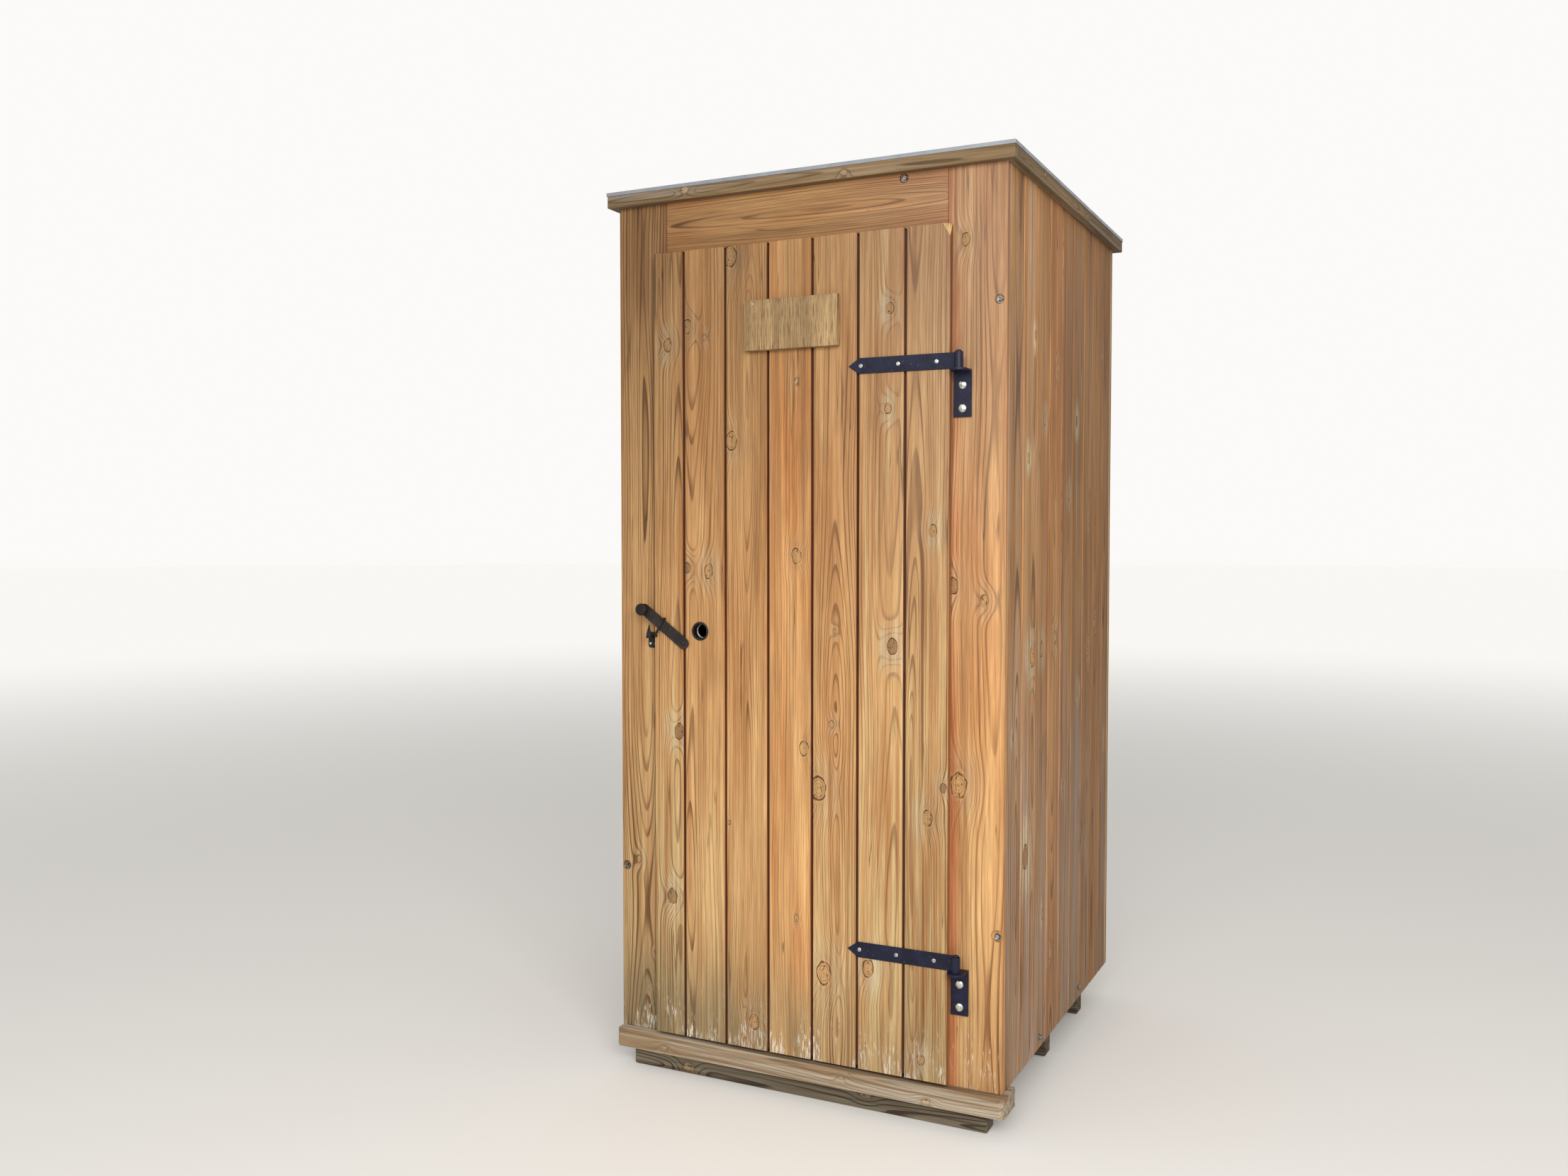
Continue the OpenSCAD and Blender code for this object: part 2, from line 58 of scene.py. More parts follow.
def add(tree, kind, links=(), stops=(), **settings):
    """Adds one shader node. kind may end with the node's way of working, as in "Math MULTIPLY". links fills
    the sockets in order or by name, with a plain value, a socket or a node, which gives its first output.
    stops fills a colour ramp, which has its first two stops already."""
    kind, _, way = kind.partition(" ")
    made = tree.nodes.new("ShaderNode" + kind)
    if way:
        settings[{"MapRange": "interpolation_type", "Mix": "blend_type"}.get(kind, "operation")] = way
    for name, value in settings.items():
        setattr(made, name, value)
    if isinstance(links, dict):
        pairs = [(made.inputs[name], value) for name, value in links.items()]
    else:
        pairs = zip([socket for socket in made.inputs if socket.enabled], links)
    for socket, value in pairs:
        if isinstance(value, bpy.types.Node):
            value = next(out for out in value.outputs if out.enabled)
        if isinstance(value, bpy.types.NodeSocket):
            tree.links.new(value, socket)
        else:
            socket.default_value = value
    for i, (place, colour) in enumerate(stops):
        ramp = made.color_ramp.elements
        stop = ramp[i] if i < 2 else ramp.new(place)
        stop.position = place
        stop.color = colour
    return made


def new_material(name):
    """An empty node material, with its tree."""
    made = bpy.data.materials.new(name)
    made.use_nodes = True
    made.node_tree.nodes.clear()
    return made, made.node_tree


def finish_material(tree, links):
    """Gives a material its surface shader from the links for the shader's sockets."""
    shader = add(tree, "BsdfPrincipled", links)
    add(tree, "OutputMaterial", {"Surface": shader})


# Flat floor paint: matt, and brighter far away, where it has to meet the white background.
floor_paint, tree = new_material("pale_floor_paint")
glow_from, glow_to = 2.5, 14.0
glow_near, glow_far = 0.08, 0.5
distance = add(tree, "VectorMath LENGTH", [add(tree, "TexCoord").outputs["Object"]])
away = add(tree, "MapRange SMOOTHSTEP", (distance, glow_from, glow_to, glow_near, glow_far))
glow = add(tree, "Math MULTIPLY", (away, add(tree, "LightPath").outputs["Is Camera Ray"]))
finish_material(tree, {"Base Color": paint("#ECEAE6"), "Roughness": 0.9, "Specular IOR Level": 0.1,
                       "Emission Color": paint("#FBFAF8"), "Emission Strength": glow})
floor_radius, floor_drop = 60, 0.0005
bpy.ops.object.select_all(action="DESELECT")
bpy.ops.mesh.primitive_circle_add(vertices=96, radius=floor_radius, fill_type="NGON",
                                  location=(0, 0, -floor_drop))
floor = bpy.context.object
floor.name = "studio_floor"
bpy.ops.object.transform_apply(location=True)
floor.data.materials.append(floor_paint)

# The world is white where it is seen, and dimmer as a lamp.
world_as_lamp, world_in_view = 0.55, 1.0
world = bpy.data.worlds.new("white_studio")
bpy.context.scene.world = world
world.use_nodes = True
tree = world.node_tree
tree.nodes.clear()
path = add(tree, "LightPath")
seen = add(tree, "Math MAXIMUM", (path.outputs["Is Camera Ray"], path.outputs["Is Glossy Ray"]))
seen = add(tree, "Math MAXIMUM", (seen, path.outputs["Is Transmission Ray"]))
level = add(tree, "MapRange", (seen, 0.0, 1.0, world_as_lamp, world_in_view))
add(tree, "OutputWorld", [add(tree, "Background", (paint("#FBFAF8"), level))])

lamp_target = Vector((0, 0, 1.1))
for name, place, side, watts in (("key_softbox", (0.9, -5.7, 3.5), 2.4, 110.0),
                                 ("fill_softbox", (2.4, -3.5, 2.4), 1.8, 84.0)):
    bpy.ops.object.light_add(type="AREA", location=place)
    lamp = bpy.context.object
    lamp.name = name
    lamp.data.shape = "SQUARE"
    lamp.data.size = side
    lamp.data.energy = watts
    lamp.data.color = (1.0, 0.985, 0.96)
    lamp.rotation_euler = (lamp_target - Vector(place)).to_track_quat("-Z", "Y").to_euler()

camera_place = (1.3493, -3.3663, 1.3436)
camera_dip, camera_turn = 0.03918, 0.45477
lens_mm, film_mm = 30.62, 36.0
bpy.ops.object.camera_add(location=camera_place, rotation=(math.pi / 2 - camera_dip, 0, camera_turn))
camera = bpy.context.object
camera.name = "camera"
camera.data.lens = lens_mm
camera.data.sensor_width = film_mm
bpy.context.scene.camera = camera
bpy.context.scene.view_settings.view_transform = "Standard"

# Bearers under the floor
# Three squared pine beams, treated dark against rot, carry the hut. The front one shows under the sill.
# Their edges are rounded by handling and by the damp.


def blank(name, low, high):
    """A block of timber from one corner to the other, as a new piece that is ready for edit mode."""
    bpy.ops.object.select_all(action="DESELECT")
    bpy.ops.mesh.primitive_cube_add(size=1, location=[(a + b) / 2 for a, b in zip(low, high)])
    piece = bpy.context.object
    piece.name = piece.data.name = name
    piece.scale = [b - a for a, b in zip(low, high)]
    bpy.ops.object.transform_apply(location=True, rotation=True, scale=True)
    return piece


def only(piece):
    """Selects one piece and nothing else, ready for an operator."""
    bpy.ops.object.select_all(action="DESELECT")
    piece.select_set(True)
    bpy.context.view_layer.objects.active = piece


def pick(kind, test):
    """In edit mode, selects the faces or edges that pass the test."""
    bpy.ops.mesh.select_mode(type=kind)
    bpy.ops.mesh.select_all(action="DESELECT")
    body = bmesh.from_edit_mesh(bpy.context.object.data)
    body.normal_update()
    for part in body.faces if kind == "FACE" else body.edges:
        if test(part):
            part.select_set(True)
    bmesh.update_edit_mesh(bpy.context.object.data)


def runs(edge, axis):
    """True for an edge that lies along one axis."""
    way = edge.verts[1].co - edge.verts[0].co
    return abs(way[axis]) > 0.99 * way.length


def ease(piece, width, steps=2):
    """Rounds every sharp edge of a piece and smooths its shading."""
    bevel = piece.modifiers.new("eased", "BEVEL")
    bevel.width = width
    bevel.segments = steps
    bevel.angle_limit = math.radians(35)
    bevel.use_clamp_overlap = False
    bevel.loop_slide = False
    only(piece)
    bpy.ops.object.modifier_apply(modifier=bevel.name)
    bpy.ops.object.shade_smooth_by_angle(angle=math.radians(40))
    return piece


def sawn(name, low, high, eased, rings=0):
    """A sawn timber with rounded edges, with cuts round it along its length where it is long."""
    piece = blank(name, low, high)
    if rings:
        axis = max(range(3), key=lambda i: high[i] - low[i])
        bpy.ops.object.mode_set(mode="EDIT")
        pick("EDGE", lambda e: runs(e, axis))
        bpy.ops.mesh.subdivide(number_cuts=rings)
        bpy.ops.object.mode_set(mode="OBJECT")
    return ease(piece, eased)


def lay_grain(piece, centre, along, through, pith, seed, knots=(), half=0.06, orange=0.0, grey=0.3, line=0.6,
              tone=1.0, free=0):
    """Tells the wood materials how a timber was sawn: where each point lies across, through and along it.
    pith is how far the tree's heart lies to the side and behind, and knots are (across, along, radius), with
    the radius below zero where the branch was dead and its knot is dark.
    free is 1 or -1 where the board's right or left edge meets no other board, 2 where painted shade lies
    along the board's right edge beside a proud board, and 3 where red stain has gathered along a proud
    board's left edge."""
    along, through = Vector(along), Vector(through)
    across = through.cross(along)
    mesh = piece.data
    spots = np.empty(len(mesh.vertices) * 3)
    mesh.vertices.foreach_get("co", spots)
    spots = spots.reshape(-1, 3) - np.array(centre)
    local = np.stack([spots @ np.array(across), spots @ np.array(through), spots @ np.array(along)], 1)
    steady = {"growth": (pith[0], pith[1], seed), "finish": (orange, grey, line),
              "board_half": (half, tone, free)}
    no_knot = (9.0, 9.0, 0.001)
    for i in range(4):
        steady["knot_%d" % (i + 1)] = knots[i] if i < len(knots) else no_knot
    for word, value in [("grain_at", local)] + [(k, np.tile(v, (len(local), 1))) for k, v in steady.items()]:
        layer = mesh.attributes.new(word, "FLOAT_VECTOR", "POINT")
        layer.data.foreach_set("vector", np.asarray(value, np.float32).ravel())


def wood(name, light, mid, line_colour, orange, grey, ring=0.0062, patch=1.0, damp=0.0, damp_from=(0.1, 0.3),
         damp_colour="#97825F", flecks=False, top_painted_shade=0.0, dashes=0.0, raw_inside=False, shadow="#2A150B",
         flank_colour="#94512C", dark_from=0.0032, checks=0.0, bleach=0.0, rough=0.62, relief=0.0007,
         knot_grey=0.0):
    """Pine or spruce as it looks after sawing and staining. The grain is the tree's yearly rings, cut by the
    board's face: lighter spring wood that ends in a thin dark line of summer wood. It bends round each knot.
    ring is a year's width, damp greys the foot between the heights damp_from, and top_painted_shade darkens
    the top as painted shade.
    A board with raw_inside has stained flanks, which on the walls are painted light as a highlight, dark
    joints from the depth dark_from on, and a bare back.
    patch, dashes, checks and bleach say how much those marks show, and relief how high the grain stands."""
    made, t = new_material(name)
    times, minus, scaled, soft = "Math MULTIPLY", "Math SUBTRACT", "Math MULTIPLY_ADD", "MapRange SMOOTHSTEP"

    def told(word):
        """The three numbers that lay_grain gave the board's points under one word."""
        found = add(t, "SeparateXYZ", [add(t, "Attribute", attribute_name=word).outputs["Vector"]])
        return found.outputs[0], found.outputs[1], found.outputs[2]

    def cloud(across, along, shift, detail=2.0):
        """Blotches of a real size in millimetres, across and along, in new places on each board."""
        spot = add(t, "CombineXYZ", (add(t, scaled, (u, 1000 / across, own_place)),
                                     add(t, scaled, (w, 1000 / across, shift)),
                                     add(t, scaled, (v, 1000 / along, own_place))))
        return add(t, "TexNoise", {"Vector": spot, "Scale": 1.0, "Detail": detail})

    def overlap(mask, *others):
        """Where several masks meet, as their product."""
        for other in others:
            mask = add(t, times, (mask, other))
        return mask

    def coated(colour, coats):
        """A colour with coats laid over it one by one, each through its mask."""
        for mask, coat in coats:
            colour = add(t, "Mix", (mask, colour, coat), data_type="RGBA")
        return colour

    u, w, v = told("grain_at")
    pith_u, pith_w, seed = told("growth")
    much_orange, much_grey, much_line = told("finish")
    half, own_tone, free = told("board_half")
    own_place = add(t, times, (seed, 7.3))
    place = add(t, "SeparateXYZ", [add(t, "TexCoord").outputs["Object"]])
    rightward, height = place.outputs[0], place.outputs[2]

    # Distance from the tree's heart, which wanders by 50 mm to the side and by 100 mm in depth
    side = add(t, minus, (add(t, minus, (u, pith_u)), 0.025))
    side = add(t, scaled, (cloud(200, 1111, 0.0, 1.0), 0.05, side))
    deep = add(t, minus, (add(t, "Math ADD", (w, pith_w)), 0.05))
    deep = add(t, scaled, (cloud(333, 1250, 4.0, 1.0), 0.10, deep))
    radius = add(t, "VectorMath LENGTH", [add(t, "CombineXYZ", (side, deep))])

    # Knots are half as long again as they are wide, and the rings bow out round them by up to 1.5 radii. The
    # nearest knot is measured in its own radii, and a dead one is dark out to 1.4 of them.
    nearest, dead = 99.0, 0.0
    for i in range(4):
        knot_u, knot_v, size = told("knot_%d" % (i + 1))
        knot_r = add(t, "Math ABSOLUTE", [size])
        step = add(t, "CombineXYZ", (add(t, minus, (u, knot_u)), overlap(add(t, minus, (v, knot_v)), 0.66)))
        off = add(t, "Math DIVIDE", (add(t, "VectorMath LENGTH", [step]), knot_r))
        bow = add(t, "Math EXPONENT", [overlap(off, off, -0.17)])
        radius = add(t, scaled, (overlap(bow, knot_r), 1.5, radius))
        here = overlap(add(t, "Math LESS_THAN", (size, 0.0)), add(t, "Math LESS_THAN", (off, 1.4)))
        dead = add(t, "Math MAXIMUM", (dead, here))
        nearest = add(t, "Math MINIMUM", (nearest, off))
    ragged = add(t, "MapRange", (cloud(14.3, 23.8, 26.0, 1.0), 0.25, 0.75, 0.87, 1.13))
    nearest = overlap(nearest, ragged)

    # Rings: uneven years, each ending in a thin dark line that fades out in places
    run_of_years = add(t, scaled, (radius, 1000 / 18.18, seed))
    uneven = add(t, "TexNoise", {"W": run_of_years, "Scale": 1.0, "Detail": 1.0}, noise_dimensions="1D")
    years = add(t, scaled, (uneven, 3.0, add(t, "Math DIVIDE", (radius, ring))))
    year = add(t, "Math FRACT", [years])
    line = overlap(add(t, soft, (year, 0.58, 0.88)), add(t, soft, (year, 0.93, 1.0, 1.0, 0.0)),
                   add(t, scaled, (cloud(38.5, 500, 9.0), 2.6, -0.6)))
    line = add(t, "Math MINIMUM", (overlap(add(t, "Math MAXIMUM", (line, 0.0)), much_line, 1.4), 1.0))

    # Patches of lighter and darker stain, bands and streaks of weather, fibres, and orange left at the edges
    tone = add(t, soft, (cloud(100, 667, 2.0, 3.0), 0.5 - 0.2 * patch, 0.5 + 0.2 * patch))
    band = cloud(29.4, 1111, 50.0, 3.0)
    streak = cloud(9.09, 417, 12.0, 5.0)
    fibre = cloud(2.326, 76.9, 5.0, 3.0)
    edge = add(t, soft, (add(t, "Math DIVIDE", (add(t, "Math ABSOLUTE", [u]), half)), 0.88, 0.99))
    warm = add(t, "Math MAXIMUM", (overlap(much_orange, add(t, soft, (cloud(71.4, 833, 21.0), 0.38, 0.64))),
                                   overlap(edge, add(t, soft, (cloud(333, 455, 33.0), 0.36, 0.62)))))

    # Damp rises into the foot and greys it, and grey lies on the lower half too. The damp is stronger on the
    # hut's left, where its darkening is partly painted shade.
    shady_side = add(t, "MapRange", (rightward, -0.4, 0.45, 1.1, 0.2))
    foot = add(t, soft, (height, *damp_from, 1.0, 0.0))
    lower = add(t, soft, (height, 0.35, 1.35, 1.0, 0.0))
    wet = overlap(foot, add(t, scaled, (tone, 0.6, 0.5)), shady_side, damp)
    weather = add(t, scaled, (band, 0.4, overlap(streak, 0.6)))
    weather = add(t, scaled, (add(t, "Math MAXIMUM", (wet, overlap(lower, 0.35))), 0.2, weather))
    most_grey = add(t, "Math MAXIMUM", (overlap(much_grey, add(t, scaled, (lower, 0.6, 0.6))), wet))
    dull = overlap(add(t, soft, (weather, 0.46, 0.64)), add(t, "Math MINIMUM", (most_grey, 0.85)))
    coats = [(tone, paint(mid)), (overlap(warm, 0.7), paint(orange)), (dull, paint(grey))]
    if damp:
        coats.append((overlap(wet, 0.85), paint(damp_colour)))
    coats.append((overlap(line, 0.85), paint(line_colour)))
    if checks:
        slit = add(t, "Math ABSOLUTE", [add(t, minus, (cloud(17.24, 667, 80.0, 1.0), 0.5))])
        slit = overlap(add(t, soft, (slit, 0.004, 0.014, 1.0, 0.0)),
                       add(t, soft, (cloud(58.8, 312.5, 85.0), 0.54, 0.64)), checks)
        coats.append((slit, paint("#3A2414")))

    # Shade: each board's own tone, a painted shadow under the roof's edge that is stronger on the hut's left,
    # and the bands, streaks and fibres
    own = add(t, "TexWhiteNoise", {"W": seed}, noise_dimensions="1D")
    head = add(t, "MapRange", (height, 0.90, 1.95))
    head_shade = overlap(head, add(t, scaled, (shady_side, 0.42, 0.67)))
    shade = overlap(own_tone, add(t, scaled, (own, 0.1, 0.95)), add(t, scaled, (head_shade, -top_painted_shade, 1.0)),
                    add(t, "MapRange", (band, 0.3, 0.7, 0.81, 1.16)),
                    add(t, "MapRange", (streak, 0.28, 0.72, 0.70, 1.22)),
                    add(t, "MapRange", (fibre, 0.25, 0.75, 0.78, 1.19)))
    # Painted reflection: towards the top and the right, a purple-grey tint stands in for the sky's reflection
    if top_painted_shade:
        sky_reflection_tint = overlap(head, add(t, "MapRange", (rightward, 0.0, 0.42, 0.0, 0.26)))
        coats.append((sky_reflection_tint, paint("#B39C92")))
    # Painted shade: a dark strip along the right edge of a board with a proud board beside it (free 2)
    if raw_inside:
        dirt = overlap(add(t, "Math COMPARE", (free, 2.0, 0.5)), add(t, soft, (u, 0.024, 0.031)),
                       add(t, soft, (height, 2.005, 2.025, 1.0, 0.0)))
        shade = overlap(shade, add(t, scaled, (dirt, -0.38, 1.0)))

    # Knots: close in colour to the board, with the branch's own rings, a crack, and bark on part of the edge
    knot_mask = add(t, soft, (nearest, 0.96, 1.08, 1.0, 0.0))
    off_knot = add(t, soft, (nearest, 0.96, 1.08))
    speckle = cloud(6.667, 11.11, 17.0, 3.0)
    crack = add(t, soft, (speckle, 0.59, 0.64))
    wobble = add(t, scaled, (speckle, 0.24, overlap(nearest, 0.86)))
    knot_rings = add(t, "ValToRGB", [wobble], stops=(
        (0.12, paint("#5A3822")), (1.0, paint("#8C6238")), (0.18, paint("#AC8050")),
        (0.38, paint("#CDA472")), (0.48, paint("#A67C50")), (0.58, paint("#CFA774")),
        (0.7, paint("#9C7246")), (0.82, paint("#C89D68"))))
    knot_colour = coated(knot_rings, ((knot_grey, paint(grey)), (overlap(dead, 0.55), paint("#4C3028")),
                                      (overlap(crack, 0.85), paint("#22130B"))))
    halo = overlap(add(t, soft, (nearest, 1.0, 2.2, 1.0, 0.0)), 0.16, off_knot)
    coats += [(overlap(knot_mask, 0.8), knot_colour), (halo, paint(line_colour))]
    if bleach:
        around = overlap(add(t, soft, (nearest, 1.3, 4.6, 1.0, 0.0)), off_knot,
                         add(t, soft, (streak, 0.38, 0.58)), much_grey, bleach)
        coats.append((around, paint("#BFB092")))
    bark = overlap(add(t, soft, (nearest, 0.84, 0.94)), add(t, soft, (nearest, 1.0, 1.12, 1.0, 0.0)),
                   add(t, soft, (cloud(18.18, 27.78, 61.0, 1.0), 0.4, 0.52)))
    pale = overlap(add(t, soft, (nearest, 1.04, 1.12)), add(t, soft, (nearest, 1.16, 1.36, 1.0, 0.0)), 0.35)
    coats += [(overlap(bark, 0.8), paint("#38220F")), (pale, paint(light))]

    # Pale flecks where rain has splashed the foot, and short dark dashes where fine rings weathered out
    if flecks:
        splash = add(t, soft, (height, 0.1, 0.21, 1.0, 0.0))
        splash = add(t, scaled, (splash, 0.11, cloud(4.348, 29.4, 40.0, 4.0)))
        fleck = overlap(add(t, soft, (splash, 0.61, 0.66)),
                        add(t, soft, (cloud(45.45, 166.7, 44.0), 0.43, 0.56)),
                        add(t, soft, (height, 0.16, 0.27, 1.0, 0.0)), 0.85)
        coats.append((fleck, paint("#D8D1C4")))
    if dashes:
        dash = add(t, soft, (cloud(1.316, 38.5, 71.0, 3.0), 0.52, 0.6))
        coats.append((overlap(dash, dashes), paint(line_colour)))

    # Red stain at an edge, stained flanks that on the walls are painted light as a highlight, shadow deep in
    # the joints, and a back that was never stained
    if raw_inside:
        red_edge = add(t, "Math COMPARE", (free, 3.0, 0.5))
        red = overlap(add(t, soft, (u, -0.047, -0.030, 1.0, 0.0)),
                      add(t, soft, (cloud(111, 625, 90.0), 0.36, 0.6)),
                      add(t, scaled, (knot_mask, -0.8, 1.0)), red_edge, 0.6)
        flank = overlap(add(t, soft, (w, 0.0008, 0.0026)), add(t, scaled, (red_edge, -0.6, 0.75)))
        shut = add(t, "Math LESS_THAN", (overlap(u, free), add(t, minus, (half, 0.012))))
        joint = overlap(add(t, soft, (w, dark_from, dark_from + 0.003)), 0.92, shut)
        bare = coated(paint("#C8A876"), ((overlap(line, 0.5), paint("#9A7446")),
                                         (overlap(knot_mask, 0.8), knot_colour)))
        coats += [(red, paint("#AE5730")), (flank, paint(flank_colour)), (joint, paint(shadow)),
                  (add(t, soft, (w, 0.0150, 0.0165)), bare)]
    colour = coated(paint(light), coats)
    colour = add(t, "Mix MULTIPLY", (1.0, colour, shade), data_type="RGBA")

    proud = add(t, scaled, (line, -0.6, overlap(fibre, 0.6)))
    proud = add(t, minus, (proud, add(t, "Math MAXIMUM", (bark, overlap(crack, knot_mask)))))
    bump = add(t, "Bump", {"Height": proud, "Distance": relief, "Strength": 0.7})
    gloss = add(t, "MapRange", (streak, 0.3, 0.7, rough - 0.09, rough + 0.12))
    finish_material(t, {"Base Color": colour, "Roughness": gloss, "Specular IOR Level": 0.28, "Normal": bump})
    return made


# Pressure-treated pine, gone dark with age and soil: low contrast, grey-brown.
treated_pine = wood("treated_pine_bearers", "#6A5845", "#503F30", "#2E2219", "#5E452F", "#77705F",
                    ring=0.007, rough=0.85, relief=0.0012, knot_grey=0.6)
bearer_edge = 0.004
for node, name, seed in (("front_beam", "front_bearer", 3.1), ("bearer_middle", "middle_bearer", 5.7),
                         ("bearer_back", "back_bearer", 8.2)):
    low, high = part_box(node)
    beam = sawn(name, low, high, bearer_edge, rings=22)
    beam.data.materials.append(treated_pine)
    lay_grain(beam, (low + high) / 2, (1, 0, 0), (0, 1, 0), (0.012, 0.02), seed, half=0.05, grey=0.6,
              line=0.9, knots=((0.01, -0.31, 0.011), (-0.012, 0.17, 0.009)))
    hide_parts(node)
    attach(beam, "house")

# Sill
# A weathered pine plank nailed over the front bearer, under the front boards. It stands proud of them, and
# rain has worn its corners and its top edge.

sill_low, sill_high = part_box("sill")
sill_corner, sill_slope, sill_edge = 0.012, 0.006, 0.0018
touch = 0.001
sill = blank("front_sill", sill_low, sill_high)
bpy.ops.object.mode_set(mode="EDIT")
pick("EDGE", lambda e: runs(e, 0))
bpy.ops.mesh.subdivide(number_cuts=30)
pick("EDGE", lambda e: runs(e, 2) and e.verts[0].co.y < sill_low.y + touch
     and min(abs(e.verts[0].co.x - sill_low.x), abs(e.verts[0].co.x - sill_high.x)) < touch)
bpy.ops.mesh.bevel(offset=sill_corner, segments=3)
pick("EDGE", lambda e: all(v.co.z > sill_high.z - touch and v.co.y < sill_low.y + touch for v in e.verts))
bpy.ops.mesh.bevel(offset=sill_slope, segments=2)
bpy.ops.object.mode_set(mode="OBJECT")
ease(sill, sill_edge)
# Bare pine that has gone silver in the weather, with its summer wood standing up as ridges.
weathered_plank = wood("weathered_pine_sill", "#B39570", "#927351", "#5E4834", "#A87E54", "#B0A491",
                       ring=0.0058, rough=0.8, relief=0.0011, knot_grey=0.45)
sill.data.materials.append(weathered_plank)
lay_grain(sill, (0, sill_low.y, sill_low.z + 0.02), (1, 0, 0), (0, 1, 0), (-0.03, 0.06), 2.4, half=0.2,
          grey=0.85, line=0.5, knots=((0.004, -0.36, 0.006), (-0.008, 0.12, 0.005), (0.01, 0.33, 0.007)))
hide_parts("sill")
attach(sill, "house")

# Floor boards
# Planed pine boards, nailed front to back across the bearers, each with its edges taken off. They are bare
# wood, rubbed darker by shoes.


def left_to_chance(chance, reach, thickest):
    """A board's growth where nothing is known of it: its pith, its seed and three knots."""
    pith = chance.uniform(-0.05, 0.05), chance.uniform(0.02, 0.06)
    seed = chance.uniform(0, 40)
    knots = [(chance.uniform(-0.04, 0.04), chance.uniform(-reach, reach), chance.uniform(0.006, thickest))
             for _ in range(3)]
    return {"pith": pith, "seed": seed, "knots": knots}


# Planed pine without stain, aged to a dull honey brown.
floor_pine = wood("planed_pine_floor", "#A98A62", "#8F7250", "#6B4F33", "#A07448", "#837A6A", rough=0.6)
floor_low, floor_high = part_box("floor")
floor_board, floor_gap, floor_edge = 0.120, 0.0008, 0.0016
chance = random.Random(11)
for i in range(8):
    left = floor_low.x + i * floor_board
    board = sawn("floor_board_%d" % (i + 1), (left + floor_gap / 2, floor_low.y, floor_low.z),
                 (left + floor_board - floor_gap / 2, floor_high.y, floor_high.z), floor_edge)
    board.data.materials.append(floor_pine)
    lay_grain(board, (left + floor_board / 2, 0, floor_high.z), (0, 1, 0), (0, 0, -1), grey=0.5,
              **left_to_chance(chance, 0.48, 0.012))
    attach(board, "house")
    if i == 0:
        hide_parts("floor")

# Frame of posts, rails and top plates
# Planed spruce, 45 mm square, with wider posts beside the doorway. It shows only from inside, so the frame
# keeps its own solids and gets bare wood.


def frame_spruce(name, axis):
    """Planed spruce for the frame, with its grain along one axis: pale, straight, with fine even rings."""
    made, t = new_material(name)
    order = {"X": (1, 2, 0), "Y": (0, 2, 1), "Z": (0, 1, 2)}[axis]
    at = add(t, "SeparateXYZ", [add(t, "TexCoord").outputs["Object"]])
    across, deep, along = (at.outputs[i] for i in order)
    spot = add(t, "CombineXYZ", (across, deep, add(t, "Math MULTIPLY", (along, 0.045))))
    rings = add(t, "TexNoise", {"Vector": spot, "Scale": 1000 / 6.25, "Detail": 3.0, "Distortion": 0.4})
    patches = add(t, "TexNoise", {"Vector": spot, "Scale": 1000 / 45.45, "Detail": 2.0})
    colour = add(t, "ValToRGB", [rings], stops=(
        (0.34, paint("#9A7548")), (0.62, paint("#C6A676")), (0.46, paint("#B6925F"))))
    shade = add(t, "MapRange", (patches, 0.3, 0.7, 0.82, 1.08))
    colour = add(t, "Mix MULTIPLY", (1.0, colour, shade), data_type="RGBA")
    bump = add(t, "Bump", {"Height": rings, "Distance": 0.0004, "Strength": 0.5})
    finish_material(t, {"Base Color": colour, "Roughness": 0.65, "Normal": bump})
    return made


upright_spruce = frame_spruce("planed_spruce_upright", "Z")
crosswise_spruce = frame_spruce("planed_spruce_crosswise", "X")
lengthwise_spruce = frame_spruce("planed_spruce_front_to_back", "Y")
for node, finish in (("door_post_left", upright_spruce), ("door_post_right", upright_spruce),
                     ("back_post_left", upright_spruce), ("back_post_right", upright_spruce),
                     ("top_plate_front", crosswise_spruce), ("top_plate_back", crosswise_spruce),
                     ("rails_back", crosswise_spruce), ("top_plate_left", lengthwise_spruce),
                     ("top_plate_right", lengthwise_spruce), ("rails_left", lengthwise_spruce),
                     ("rails_right", lengthwise_spruce)):
    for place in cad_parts[node].material_slots:
        place.material = finish

# Front corner boards and header board
# Planed pine with a honey-brown stain, screwed to the posts. The header lies between the two uprights and
# has kept more of its orange under the roof.

# Pine with a thin brown stain: the ring lines take it darkest, sheltered places stay orange, and the foot
# has gone grey in the damp.
# Its top is darkened by painted shade, and tinted purple-grey on the right by a painted sky reflection.
stained_pine = wood("stained_pine_front_boards", "#DBA970", "#BC8854", "#6A401F", "#C4783A", "#C2AA7A",
                    ring=0.0053, damp=1.08, damp_from=(0.14, 0.42), damp_colour="#867354",
                    shadow="#3A1A0D", flecks=True, top_painted_shade=0.43, raw_inside=True, checks=0.6, bleach=0.6)
board_edge = 0.0022
left_low, left_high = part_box("corner_board_left")
right_low, right_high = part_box("corner_board_right")
head_low, head_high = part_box("header_board")
corner_half = (left_high.x - left_low.x) / 2
header_half = (head_high.z - head_low.z) / 2
# The frame screws have pulled their washers into the wood, and each has a crushed hollow round it, given by
# its place across and up and by its radius.
pulled_in = 0.0045
washer_seat = left_low.y + pulled_in
hollow_cone = 0.010
hollows_right = ((0.482, 1.861, 0.0108), (0.485, 0.452, 0.0138))
hollows_left = ((-0.487, 0.507, 0.0125),)
hollows_header = ((0.258, 2.148, 0.0112),)


